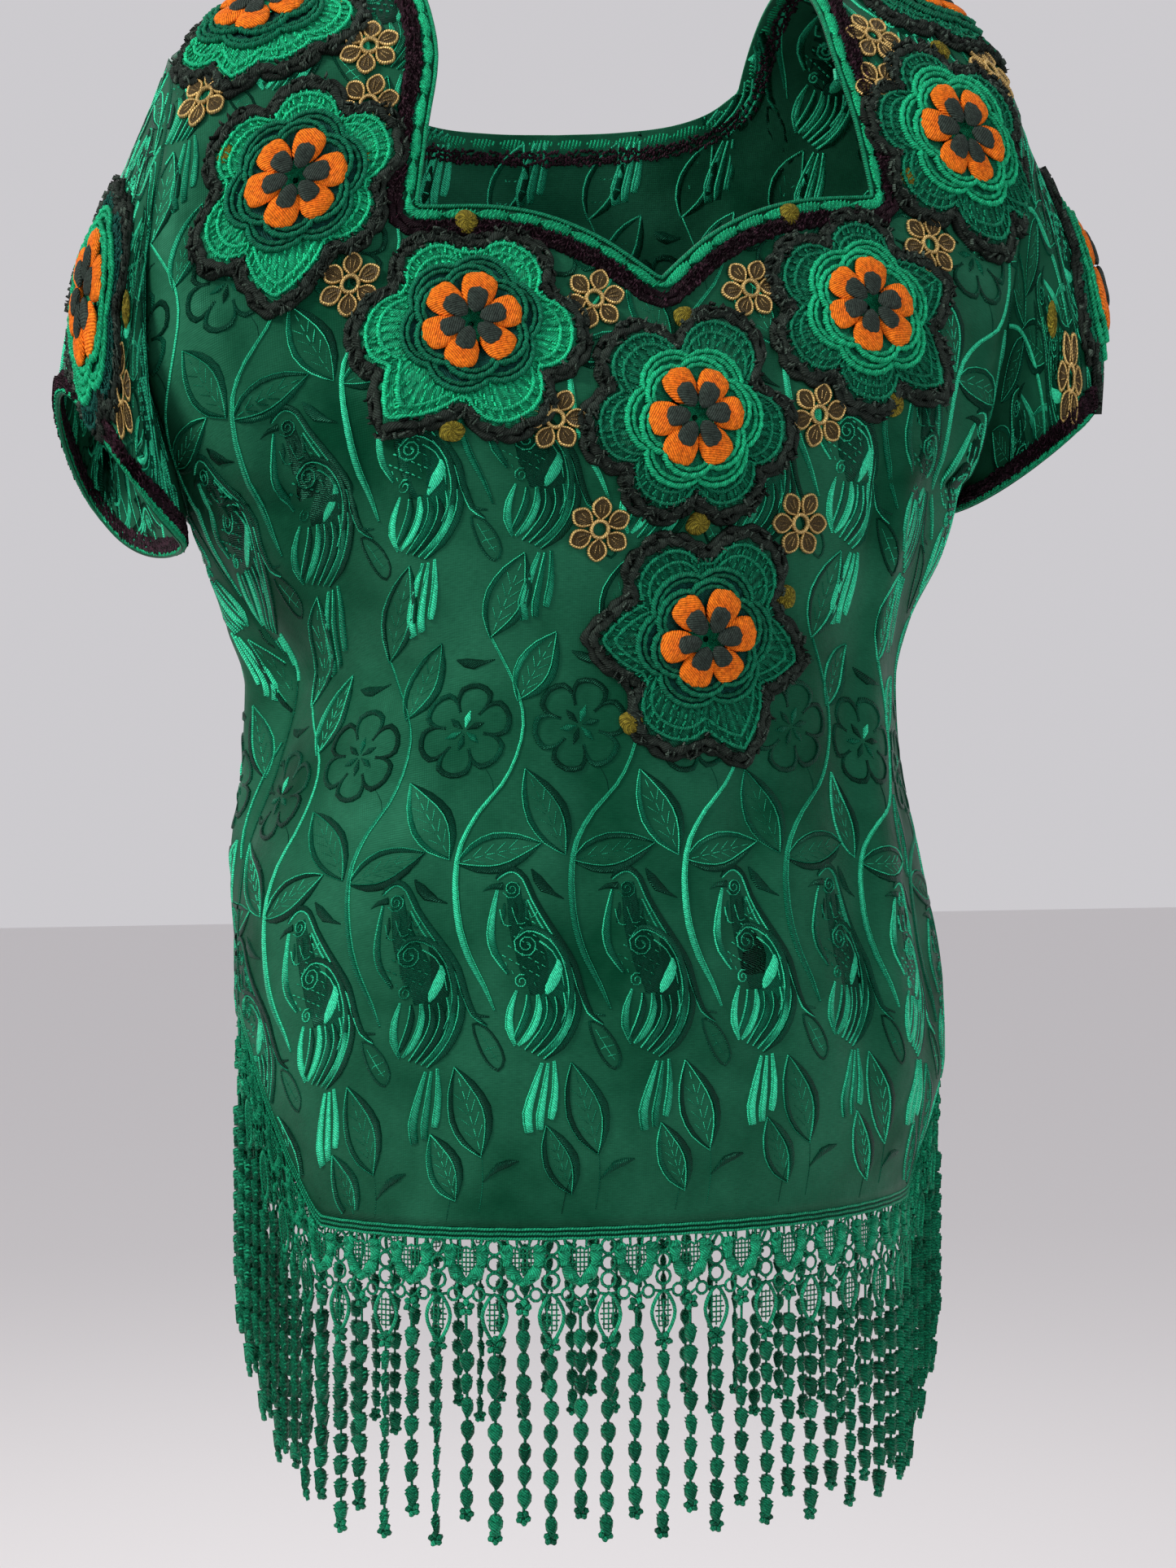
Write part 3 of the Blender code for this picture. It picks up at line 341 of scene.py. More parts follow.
def right_of(run):
    """Directions a quarter turn to the right of each direction in run."""
    return np.stack([run[:, 1], -run[:, 0]], axis=1)


def grid_quads(rows, columns):
    """Faces of a grid of points whose last row joins its first."""
    i, j = np.arange(rows)[:, None], np.arange(columns - 1)[None, :]
    a, b = i * columns + j, (i + 1) % rows * columns + j
    return np.stack(np.broadcast_arrays(a, a + 1, b + 1, b), axis=-1).reshape(-1, 4)


def lerp(a, b, t):
    """Mixes two colours or values by t, which may be an array."""
    return np.asarray(a) + (np.asarray(b) - np.asarray(a)) * np.asarray(t)[..., None]


def bilinear(table, i, j):
    """Reads a table between its rows and columns."""
    i = np.clip(i, 0, table.shape[0] - 1.001)
    j = np.clip(j, 0, table.shape[1] - 1.001)
    i0, j0 = i.astype(int), j.astype(int)
    s, t = i - i0, j - j0
    low = table[i0, j0] * (1 - t) + table[i0, j0 + 1] * t
    high = table[i0 + 1, j0] * (1 - t) + table[i0 + 1, j0 + 1] * t
    return low * (1 - s) + high * s


class Flat:
    """A cloth surface laid out flat. Its subclasses give points(u, v) and inside(u, v)."""

    def place(self, u, v, rise):
        """Points at height rise over (u, v)."""
        step = 5e-4
        du = self.points(u + step, v) - self.points(u - step, v)
        dv = self.points(u, v + step) - self.points(u, v - step)
        normals = unit(np.cross(du, dv)) * self.outward
        return self.points(u, v) + normals * np.asarray(rise)[..., None]


class PanelFlat(Flat):
    """The front (side -1) or the back (side 1). u is the length round the body from its middle line."""

    U_HALF, U_COUNT = 0.340, 273
    DROPS = (-0.110, 0.760, 218)  # from, to and how many
    TURNS = 241

    def __init__(self, side):
        self.side, self.outward = side, side
        self.neck = SWEETHEART if side < 0 else BACK_NECK
        self.strap = STRAP_EDGE if side < 0 else BACK_STRAP_EDGE
        turns = np.linspace(-math.pi / 2, math.pi / 2, self.TURNS)
        drops = np.linspace(*self.DROPS)
        grid = cloth(np.sin(turns)[:, None], drops[None, :], side)
        steps = np.linalg.norm(np.diff(grid, axis=0), axis=-1)
        arc = np.concatenate([np.zeros((1, len(drops))), np.cumsum(steps, axis=0)])
        arc -= arc[len(turns) // 2]
        us = np.linspace(-self.U_HALF, self.U_HALF, self.U_COUNT)
        self.turn = np.stack([np.interp(us, arc[:, j], turns) for j in range(len(drops))], axis=1)
        self.ends = np.stack([drops, -arc[0], arc[-1]])
        self.arc, self.turns, self.drops = arc, turns, drops

    def across(self, u, v):
        i = (u + self.U_HALF) / (2 * self.U_HALF) * (self.U_COUNT - 1)
        j = (v - self.DROPS[0]) / (self.DROPS[1] - self.DROPS[0]) * (self.DROPS[2] - 1)
        return np.sin(bilinear(self.turn, i, j))

    def points(self, u, v):
        return cloth(self.across(u, v), v, self.side)

    def u_at(self, across, drop):
        """The u of a place given by its share of the half width and its drop."""
        j = (drop - self.DROPS[0]) / (self.DROPS[1] - self.DROPS[0]) * (self.DROPS[2] - 1)
        i = np.interp(np.arcsin(np.clip(across, -1, 1)), self.turns, np.arange(len(self.turns)))
        return bilinear(self.arc, np.asarray(i, float), np.asarray(j, float))

    def inside(self, u, v):
        """Whether a place is on the panel's cloth."""
        across = self.across(u, v)
        z = height(across, np.abs(v))[0]
        x = np.abs(across * half_width(z, across))
        corner_z = self.neck[-1][1]
        strap = smooth(np.clip(z / corner_z, 0, 1), self.strap)
        right, left = (np.interp(v, self.ends[0], ends) for ends in self.ends[1:])
        reach = np.where(u < 0, right, left)
        on_cloth = (x > strap) | (z < smooth(x, self.neck))
        return on_cloth & (np.abs(u) < reach - 0.001) & (v > 0.001) & (z > hem_z(across) + 0.0015)


def armhole_loop(side_x):
    """The armhole's corners, once round from the shoulder seam, down the front and up the back."""
    rows = ARMHOLE_POINTS // 2
    strap_rows = 5
    underarm = (YOKE_OUTER_Z - UNDERARM_Z) / (YOKE_OUTER_Z - hem_z(1.0))
    yoke_drop = drop_at(1.0, YOKE_OUTER_Z)
    drops = list(yoke_drop * np.arange(strap_rows) / strap_rows)
    for t in np.linspace(0, underarm, rows - strap_rows):
        drops.append(drop_at(1.0, YOKE_OUTER_Z + (hem_z(1.0) - YOKE_OUTER_Z) * t))
    drops = np.array([float(d) for d in drops])
    front = cloth(float(side_x), drops, -1)
    back = cloth(float(side_x), drops, 1)
    loop = np.concatenate([front, back[-2:0:-1]])
    loop[0, 1] = loop[rows - 1, 1] = 0
    return loop


def sleeve_hem(sleeve, angle):
    outer = np.array([sleeve.outer_x, 0, sleeve.outer_z])
    under = np.array([sleeve.under_x, 0, sleeve.under_z])
    middle, reach = (outer + under) / 2, (outer - under) / 2
    drop = np.where(np.sin(angle) > 0, sleeve.front_drop, sleeve.back_drop) * np.sin(angle) ** 2
    points = middle + np.cos(angle)[..., None] * reach
    points[..., 1] = -sleeve.half_depth * np.sin(angle)
    points[..., 2] -= drop
    points[..., 0] *= sleeve.side
    return points


class SleeveFlat(Flat):
    """A sleeve. u is the length round it from its outer fold toward the front, v that from the armhole."""

    MIDDLE = 0.6
    ANGLES, SHARES, LENGTHS = 241, 61, 131
    V_MOST = 0.300

    def __init__(self, sleeve):
        self.sleeve, self.outward = sleeve, sleeve.side
        loop = armhole_loop(sleeve.side)
        centre = loop.mean(0)
        out = loop - centre
        start = centre + out * (1 - SLEEVE_SEAM / np.linalg.norm(out, axis=1, keepdims=True))
        start[:, 0] = loop[:, 0] + sleeve.side * SLEEVE_SEAM
        self.loop = np.concatenate([start, start[:1]])
        angles = np.linspace(-math.pi, math.pi, self.ANGLES)
        shares = np.linspace(0, 1, self.SHARES)
        grid = self.at(angles[:, None], shares[None, :])
        ring = self.at(angles, self.MIDDLE)
        arc = lengths_along(ring)
        self.arc, self.angles = arc - arc[self.ANGLES // 2], angles
        down = np.linalg.norm(np.diff(grid, axis=1), axis=-1)
        self.down = np.concatenate([np.zeros((self.ANGLES, 1)), np.cumsum(down, axis=1)], axis=1)
        lengths = np.linspace(0, self.V_MOST, self.LENGTHS)
        self.share = np.stack([np.interp(lengths, row, shares) for row in self.down])

    def at(self, angle, share):
        angle, share = np.broadcast_arrays(np.asarray(angle, float), np.asarray(share, float))
        turned = np.mod(angle, 2 * math.pi)
        places = np.linspace(0, 2 * math.pi, len(self.loop))
        begin = np.stack([np.interp(turned, places, self.loop[:, k]) for k in range(3)], axis=-1)
        end = sleeve_hem(self.sleeve, turned - HEM_TURN * np.sin(turned))
        up = np.maximum(np.cos(turned), 0)
        swell = SLEEVE_SWELL_SIDE + (self.sleeve.swell - SLEEVE_SWELL_SIDE) * up
        swell = swell * SWELL_PEAK * share**2 * (1 - share)
        level = SWELL_OUT * self.sleeve.side * np.cos(turned)
        out = np.stack([level, -np.sin(turned), SWELL_UP * np.cos(turned)], axis=-1)
        swell = np.where(np.cos(turned) < 0, swell * (1 + np.cos(turned)), swell)
        return begin + (end - begin) * share[..., None] + out * swell[..., None]

    def params(self, u, v):
        angle = np.interp(u, self.arc, self.angles)
        i = (angle + math.pi) / (2 * math.pi) * (self.ANGLES - 1)
        return angle, bilinear(self.share, i, v / self.V_MOST * (self.LENGTHS - 1))

    def points(self, u, v):
        return self.at(*self.params(u, v))

    def uv_at(self, degrees, share):
        angle = math.radians(degrees)
        i = (angle + math.pi) / (2 * math.pi) * (self.ANGLES - 1)
        length = bilinear(self.down, np.array(i), np.array(share * (self.SHARES - 1)))
        return float(np.interp(angle, self.angles, self.arc)), float(length)

    def inside(self, u, v):
        angle, share = self.params(u, v)
        return (share > 0.015) & (v < self.length_at(u) - 0.001) & (np.abs(u) < self.arc[-1] - 0.001)

    def length_at(self, u):
        """The length from the armhole to the hem."""
        return np.interp(u, self.arc, self.down[:, -1])


class HemFlat(Flat):
    """What hangs below a panel's hem: u is the length along the hem from its start, v the drop below it."""

    def __init__(self, side):
        self.side, self.outward = side, 1
        turns = np.linspace(-math.pi / 2, math.pi / 2, 481)
        across = np.sin(turns)
        edge = cloth(across, drop_at(across, hem_z(across)), side)
        self.lengths, self.edge = lengths_along(edge), edge
        self.length = self.lengths[-1]
        run = unit(np.gradient(edge, axis=0) * [1, 1, 0])
        self.normals = np.stack([run[:, 1], -run[:, 0], 0 * run[:, 0]], axis=1) * (1 if side < 0 else -1)

    def points(self, u, v):
        at = np.stack([np.interp(u, self.lengths, self.edge[:, k]) for k in range(3)], axis=-1)
        return at - np.asarray(v)[..., None] * np.array([0, 0, 1.0])

    def place(self, u, v, rise):
        normal = np.stack([np.interp(u, self.lengths, self.normals[:, k]) for k in range(3)], axis=-1)
        return self.points(u, v) + normal * np.asarray(rise)[..., None]

    def inside(self, u, v):
        return (u > 0.0005) & (u < self.length - 0.0005)


class Pile:
    """Gathers points, faces, colours and stitch places (metres along and across) as one piece."""

    def __init__(self):
        self.points, self.tints, self.stitches, self.faces, self.count = [], [], [], [], 0

    def add(self, points, faces, tint, stitch):
        """points (n, 3), faces a list of (m, k) arrays, tint (n, 3) or one colour, stitch (n, 2)."""
        self.points.append(points)
        self.tints.append(np.broadcast_to(tint, points.shape))
        self.stitches.append(np.broadcast_to(stitch, (len(points), 2)))
        self.faces += [np.asarray(f) + self.count for f in faces if len(f)]
        self.count += len(points)

    def make(self, name, slot, material, replaces=()):
        points = np.concatenate(self.points)
        tints = np.concatenate(self.tints)
        stitches = np.concatenate(self.stitches)
        used = np.zeros(len(points), bool)
        for faces in self.faces:
            used[faces.ravel()] = True
        index = np.cumsum(used) - 1
        faces = [index[f] for f in self.faces]
        loops = np.concatenate([f.ravel() for f in faces]).astype(np.int32)
        sizes = np.concatenate([np.full(len(f), f.shape[1]) for f in faces])
        starts = np.concatenate([[0], np.cumsum(sizes)[:-1]]).astype(np.int32)
        mesh = bpy.data.meshes.new(name)
        mesh.vertices.add(int(used.sum()))
        mesh.vertices.foreach_set("co", points[used].astype(np.float32).ravel())
        mesh.loops.add(len(loops))
        mesh.loops.foreach_set("vertex_index", loops)
        mesh.polygons.add(len(starts))
        mesh.polygons.foreach_set("loop_start", starts)
        mesh.update(calc_edges=True)
        mesh.validate()
        work = bmesh.new()
        work.from_mesh(mesh)
        bmesh.ops.recalc_face_normals(work, faces=work.faces)
        work.to_mesh(mesh)
        work.free()
        colour = mesh.color_attributes.new("tint", "FLOAT_COLOR", "POINT")
        colour.data.foreach_set("color", np.c_[tints[used], np.ones(used.sum())].astype(np.float32).ravel())
        stitch = mesh.attributes.new("stitch", "FLOAT_VECTOR", "POINT")
        places = np.c_[stitches[used], np.zeros(used.sum())].astype(np.float32)
        stitch.data.foreach_set("vector", places.ravel())
        mesh.shade_smooth()
        mesh.materials.append(material)
        piece = bpy.data.objects.new(name, mesh)
        bpy.context.scene.collection.objects.link(piece)
        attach(piece, "root")
        if replaces:
            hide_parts(*replaces)
        return piece


def curve(points, per=3, closed=False):
    """A smooth curve through points, with per steps between each pair."""
    p = np.asarray(points, float)
    if closed:
        padded = np.concatenate([p[-1:], p, p[:2]])
    else:
        padded = np.concatenate([2 * p[:1] - p[1:2], p, 2 * p[-1:] - p[-2:-1]])
    a, b, c, d = padded[:-3], padded[1:-2], padded[2:-1], padded[3:]
    t = (np.arange(per) / per)[None, :, None]
    a, b, c, d = (x[:, None, :] for x in (a, b, c, d))
    out = 0.5 * (2 * b + (c - a) * t + (2 * a - 5 * b + 4 * c - d) * t**2 + (3 * b - a - 3 * c + d) * t**3)
    out = out.reshape(-1, p.shape[1])
    return out if closed else np.concatenate([out, p[-1:]])


Stroke = collections.namedtuple("Stroke", "path width rise closed tone")
MOST_RISE = 1.3


def stroke(points, widths, tone=0.0, rise=None, per=2, closed=False):
    """A line of thread in millimetres: a smooth path, its width along it and how far it stands up."""
    if len(points) == 2 and not closed:
        path = np.array(points, float)
    else:
        path = curve(points, per, closed)
    shares = np.linspace(0, 1, len(widths))
    width = np.interp(np.linspace(0, 1, len(path)), shares, widths)
    if rise is None:
        lift = np.minimum(0.28 * width + 0.25, MOST_RISE)
    else:
        lift = np.full(len(path), float(rise))
    return Stroke(path, width, lift, closed, tone)


def even_stroke(path, width, rise, tone, closed=False):
    """A stroke through the given points, of one width and rise."""
    return Stroke(path, np.full(len(path), width), np.full(len(path), rise), closed, tone)


# Sections of thread by their number of sides: flat below where it lies on cloth, and round where it hangs
LYING = {
    4: [(-1, -0.45), (-0.52, 1), (0.52, 1), (1, -0.45)],
    3: [(-1, -0.5), (0, 1), (1, -0.5)],
}
HANGING = {
    6: [(-1, 0), (-0.55, 1), (0.55, 1), (1, 0), (0.55, -1), (-0.55, -1)],
    4: [(-1, 0), (0, 1), (1, 0), (0, -1)],
}
THIN_MM = 1.75  # a thinner thread gets the section with fewer sides
SHEEN_PAINT_WAY = unit(np.array([-0.42, -0.91]))  # strokes that run this way get painted sheen: their colour is made lighter
SHEEN_PAINT_SHARP = 6
TONE_SPREAD = 0.12
Laid = collections.namedtuple("Laid", "spots rise along across tone closed")


def lay(pile, flat, strokes, at=(0.0, 0.0), lift=0.0, colours=None, seed=0, scale=1.0, clip=True, sheen_paint=0.75,
        shapes=LYING):
    """Lays strokes on a flat map at a place, as closed threads with the sections of shapes. With clip, what
    would lie off the cloth is left out. colours are for the lowest and the highest tone, or satin's ramp,
    whose bright end is a painted highlight. Each stroke's tone gets painted sheen: more with the sheen
    weight, and most where the stroke runs the one way that is painted as gleaming."""
    rng = np.random.default_rng(abs(seed))
    few, many = sorted(shapes)
    batches = {few: [], many: []}
    for one in strokes:
        path = one.path * scale * MM
        if one.closed:
            run = np.roll(path, -1, 0) - np.roll(path, 1, 0)
        else:
            run = np.gradient(path, axis=0)
        run = unit(run)
        aside = np.stack([-run[:, 1], run[:, 0]], axis=1)
        sides = few if one.width.max() * scale < THIN_MM else many
        ring = np.array(shapes[sides])
        across = one.width[:, None] * MM * scale / 2 * ring[:, 0]
        spots = path[:, None, :] + aside[:, None, :] * across[..., None]
        rise = one.rise[:, None] * MM * scale * ring[:, 1] + lift
        along = lengths_along(path)
        # Painted sheen: the tone is lightened by the sheen weight, and most where the stroke runs the
        # gleaming way
        light = np.abs(run @ SHEEN_PAINT_WAY) ** SHEEN_PAINT_SHARP * (0.22 + 0.78 * min(one.tone * 2.2, 1.0))
        tone = one.tone * (0.4 + 0.8 * sheen_paint) + sheen_paint * light + rng.uniform(-TONE_SPREAD, TONE_SPREAD)
        batches[sides].append(Laid(spots, rise, along, across, np.clip(tone, 0, 1), one.closed))
    for sides, group in batches.items():
        if not group:
            continue
        spots, rise, along, across, tone = (np.concatenate(parts) for parts in list(zip(*group))[:5])
        u, v = at[0] + spots[..., 0], at[1] - spots[..., 1]
        points = flat.place(u, v, rise)
        good = flat.inside(u, v).all(1) | (not clip)
        if colours is None:
            # Satin's tint: dark thread to mid, then mid to the painted highlight
            low, high = lerp(SATIN_DARK, SATIN_MID, tone * 2), lerp(SATIN_MID, SATIN_PAINTED_HIGHLIGHT, tone * 2 - 1)
            tint = np.where((tone < 0.5)[:, None], low, high)
        else:
            tint = lerp(colours[0], colours[1], tone)
        quads, caps, start = [], [np.zeros((0, sides), int)], 0
        k = np.arange(sides)
        for one in group:
            n = len(one.spots)
            rows = np.arange(n if one.closed else n - 1)
            after = (rows + 1) % n
            keep = good[start + rows] & good[start + after]
            a, b = (start + rows[keep])[:, None] * sides, (start + after[keep])[:, None] * sides
            beyond = (k + 1) % sides
            quads.append(np.stack([a + k, a + beyond, b + beyond, b + k], axis=-1).reshape(-1, 4))
            if not one.closed:
                for end, order in ((start, k[::-1]), (start + n - 1, k)):
                    if good[end]:
                        caps.append((end * sides + order)[None, :])
            start += n
        stitch = np.stack([np.repeat(along, sides), across.ravel()], axis=1)
        faces = [np.concatenate(quads)[:, ::-1], np.concatenate(caps)[:, ::-1]]
        pile.add(points.reshape(-1, 3), faces, np.repeat(tint, sides, axis=0), stitch)


def spiral(x, y, radius, turns, start_deg, width, inner=0.18):
    """A spiral line that winds in round (x, y)."""
    t = np.linspace(0, 1, max(6, int(turns * 9)))
    angle = math.radians(start_deg) + t * turns * 2 * math.pi
    reach = radius * (1 - (1 - inner) * t)
    path = np.stack([x + reach * np.cos(angle), y + reach * np.sin(angle)], axis=1)
    return stroke(path, [width, width * 0.8], 0.8, 1.1, per=1)


def quill(points, widths, tone, edge=1.0, width=1.55):
    """A filled strip of satin stitch with a fine thread along its right edge, in a bright tone that is a
    painted highlight on that edge.
    """
    one = stroke(points, widths, tone)
    run = unit(np.gradient(one.path, axis=0))
    return [one, even_stroke(one.path + right_of(run) * (one.width * 0.47)[:, None], width, 1.3, edge)]


def bird():
    """A perched bird that looks to the left: crest line, breast, spiral eye, stippled neck, wing and tail."""
    parts = [
        stroke([(-15, 47), (-14, 36), (-11, 22), (-5, 6), (-3, -8)], [9, 12, 18, 24, 14], 0.0, 0.62),
        stroke([(3, 20), (6, 6), (3, -12), (-2, -30)], [8, 15, 18, 9], 0.0, 0.70),
        stroke([(-30, 43), (-25.5, 45.2), (-20, 45.5)], [0.6, 3.2, 4.8]),
        spiral(-15.6, 44, 4.9, 1.9, 200, 1.3),
        spiral(-9.3, 16.4, 6.6, 1.9, 120, 1.7),
        spiral(-12.2, -1.6, 3.8, 1.5, 60, 1.3),
        stroke([(-16, 27), (-14, 33), (-14.4, 38)], [1.0, 2.8, 1.2], 0.0),
        stroke([(-9.4, 28), (-8.6, 34), (-9.8, 39)], [1.0, 3.2, 1.2], 0.0),
        stroke([(-21.4, 27), (-20.0, 32), (-19.6, 37)], [1.0, 2.8, 1.2], 0.0),
        stroke([(-22, 34), (-20.2, 26.5), (-16.4, 26)], [1.1, 1.3, 1.1], 0.85, 1.1),
        stroke([(-16, 35), (-13.4, 27), (-9.4, 27.5)], [1.1, 1.3, 1.1], 0.85, 1.1),
        stroke([(-9, 38), (-6.4, 30), (-3, 33)], [1.1, 1.3, 1.1], 0.85, 1.1),
        stroke([(6.5, 9), (6.6, 5), (4.6, 0), (1.6, -5), (0, -8)], [1.4, 6.4, 8.4, 6.6, 1.6], 0.85, 1.3),
        stroke([(11, -3), (13.5, -9), (12.5, -17), (8.4, -20), (6, -13), (8, -5)], [1.1], 0.6, closed=True),
        stroke([(22, -22), (24.5, -32), (29, -41), (34.5, -45.5), (37.5, -40), (34.0, -31), (28, -24)], [1.9],
               closed=True),
        stroke([(25, -26), (28, -31), (31, -36), (34.5, -41)], [0.8], 0.8),
        stroke([(18, -10), (22, -17), (30, -19)], [1.4, 2.6, 1.2], 0.1),
    ]
    bars = ((27, -30.5, 31.5, -29.5), (29, -35, 34, -33.6), (31, -39.4, 35, -38.2), (27.5, -36, 30, -33.8))
    for a, b, c, d in bars:
        parts.append(stroke([(a, b), (c, d)], [0.8], 0.8))
    crest = [(-23.4, 49), (-19.4, 53), (-14.2, 54), (-8.8, 49.6), (-4.6, 39.4), (1.8, 28), (9.2, 16.4),
             (15, 6), (18, -5), (22.5, -17), (29, -23)]
    parts += quill(crest, [1.6, 3.4, 3.6, 3.4, 3.4, 3.8, 4.4, 4.6, 4.2, 3.2, 1.2], 0.0)
    parts += quill([(-7.6, 39), (-2.0, 27.6), (5.6, 16), (11.4, 5.6)], [1.0, 1.4, 1.4, 1.0], 0.55)
    breast = [(-22.6, 43.5), (-25, 33.4), (-26.6, 22), (-24.8, 12.6), (-18.6, 2.6)]
    parts += quill(breast, [1.4, 2.8, 4.4, 4.2, 1.8], 0.35)
    wing = [(-14.6, 19.8), (-9.4, 24.6), (-1, 23.2), (7.4, 16), (11.8, 5.6), (13.6, -7), (11, -18.4),
            (5.4, -26.6)]
    parts += quill(wing, [1.4, 3.0, 3.8, 4.2, 4.2, 3.8, 3.6, 1.6], 0.0)
    parts += quill([(-2.6, 18.6), (4.2, 13.6), (8.2, 5), (9.6, -4)], [0.9, 1.6, 1.6, 0.9], 0.6)
    nested = (
        ([(14, 0), (17, -12), (14.5, -24), (8, -34), (-1, -40.4)], 4.8, 0.0),
        ([(9.5, -7), (12, -16), (9.5, -26), (4, -33), (-4, -38.8)], 4.5, 0.30),
        ([(5, -9), (7.2, -17), (4.6, -25.5), (-0.5, -32), (-7, -37.2)], 4.4, 0.0),
        ([(0.5, -9), (2.2, -16.5), (0, -24), (-5, -31), (-10.5, -35.8)], 4.4, 0.12),
        ([(-4, -8), (-3.4, -15), (-5.5, -22.5), (-9.5, -29), (-14, -33.4)], 4.2, 0.70),
        ([(-9, -8), (-8.8, -14), (-10.8, -21), (-13.6, -27), (-17, -31.4)], 4.0, 0.05),
    )
    for path, width, tone in nested:
        parts += quill(path, [1.4, width * 0.9, width, width * 0.9, 1.2], tone)
    parts += quill([(-14.4, -6), (-17.6, -15), (-18.2, -24), (-15.4, -33)], [1.0, 3.4, 4.4, 1.4], 0.70)
    parts += quill([(-1.8, -42), (-6.0, -55), (-9.0, -67), (-7.8, -76.4)], [1.6, 3.8, 5.4, 4.6], 0.62)
    parts += quill([(1.2, -42), (-0.8, -56), (-2.6, -68), (-2.4, -75)], [1.4, 3.2, 4.4, 3.6], 0.45)
    parts += quill([(4.2, -41), (4.8, -54), (3.6, -65), (2.6, -70)], [1.4, 3.4, 4.4, 3.2], 0.55)
    for row in range(5):
        for step in range(7):
            x = -21.5 + row * 3.0 + step * 3.3
            y = 11.5 + row * 4.6 - step * 1.9
            if y > 31 - x * 0.45 or (x - 4) ** 2 + y * y < 60 or x > -1.0 - row * 0.6:
                continue
            parts.append(stroke([(x, y), (x + 1.9, y - 1.2)], [1.0, 0.9], 0.9, 1.2))
    specks = ((10.5, -7), (11.0, -12), (9.0, -15.5), (-20, 8), (-17, 4), (-6, -2), (-4, 6), (-1, 11),
              (9.6, -10))
    for x, y in specks:
        parts.append(stroke([(x, y), (x + 0.9, y - 2.2)], [0.7, 0.6], 0.85, 0.8))
    return parts


def leaf(base, tip, width, bulge=1.0, tone=0.0):
    """An outlined leaf with a stitched midrib and side veins."""
    base, tip = np.array(base, float), np.array(tip, float)
    run = tip - base
    aside = np.array([-run[1], run[0]]) / np.hypot(*run) * width / 2

    def at(along, across):
        return base + run * along + aside * across

    left = [at(0, 0), at(0.22, 0.70), at(0.48, 0.96 * bulge), at(0.76, 0.64), at(1, 0.0)]
    right = [at(1, 0.0), at(0.76, -0.62), at(0.48, -1.0), at(0.22, -0.72), at(0, 0)]
    parts = quill(left[::-1], [0.9, 2.8, 3.4, 3.0, 1.0], tone, 1.0, 1.0)
    parts += quill(right, [0.8, 4.0, 5.2, 4.2, 1.0], 0.0, 1.0, 1.0)
    for start in (0.08, 0.22, 0.36, 0.50, 0.64, 0.78):
        parts.append(stroke([at(start, 0.0), at(start + 0.09, 0.0)], [0.9, 0.9], 0.85, 0.6))
    for start in (0.20, 0.34, 0.48, 0.62):
        for way in (1, -1):
            parts.append(stroke([at(start, 0.10 * way), at(start + 0.12, 0.50 * way)], [0.8, 0.7], 0.7, 0.6))
    return parts


def bud(base, tip, width=6.4):
    base, tip = np.array(base, float), np.array(tip, float)
    bend = np.array([-(tip - base)[1], (tip - base)[0]]) * 0.12
    return [stroke([base, (base + tip) / 2 + bend, tip], [0.9, 2.8, width, width * 0.9, 1.2])]


def outlined_flower(x, y, radius):
    """Six open petals drawn in thick thread, with six drops in the middle."""
    parts = []
    for k in range(6):
        turn = math.radians(60 * k + 12)

        def at(reach, degrees):
            angle = turn + math.radians(degrees)
            return (x + reach * radius * math.cos(angle), y + reach * radius * math.sin(angle))

        lobe = ((0.42, -27), (0.66, -29), (0.90, -20), (0.97, 0), (0.90, 20), (0.66, 29), (0.42, 27))
        parts.append(stroke([at(*spot) for spot in lobe], [0.9, 2.4, 3.9, 3.6, 3.9, 2.4, 0.9]))
        drop_tone = 0.45 if k % 2 else 0.0
        parts.append(stroke([at(0.06, 0), at(0.26, 2), at(0.43, 0)], [0.8, 4.6, 0.8], drop_tone))
    return parts


def repeat():
    """One repeat of the embroidery: a bird, and the vine on its left with leaves, a flower and buds."""
    parts = bird()
    vine = [(-26, -16), (-31, -4), (-38, 10), (-42.5, 25), (-44, 41), (-43.6, 54), (-40.4, 68), (-31, 83),
            (-19, 96), (-11.6, 110), (-7.8, 126), (-10, 141), (-17, 157), (-24.5, 171)]
    widths = [1.0, 2.4, 3.6, 3.8, 3.6, 3.2, 2.8, 2.4, 1.9, 1.6, 1.4, 1.4, 1.4, 1.3, 1.2]
    parts += quill(vine, widths, 0.60, 1.0, 0.7)
    parts += leaf((-24.5, 171), (-9, 214), 20)
    parts += leaf((-10, 138), (8.5, 173), 18, tone=0.2)
    parts += bud((-22, 160), (-42, 163.5))
    parts += leaf((-46, 61), (-65, 104), 19, tone=0.25)
    parts += leaf((-43, 58), (0, 66.5), 17, tone=0.1)
    parts += outlined_flower(-37.5, 126, 24)
    parts.append(stroke([(-27, 105), (-23.5, 98), (-23, 91)], [1.0, 1.3, 1.0]))
    parts += bud((-48, 39), (-64, 54), 7.0)
    return parts


def hem_sprig():
    """The leaves that stand on the hem between the birds' tails."""
    parts = [stroke([(-32, -116), (-30.5, -102), (-31.5, -86)], [1.0, 1.5, 1.0], tone=0.2),
             stroke([(-49, -118), (-47, -106), (-44.5, -98)], [1.0, 1.4, 1.0])]
    parts += leaf((-31.5, -88), (-45.5, -42), 18.5)
    parts += leaf((-44, -108), (-58, -73), 14.5, tone=0.15)
    parts += bud((-30.5, -101), (-13, -91), 5.6)
    return parts


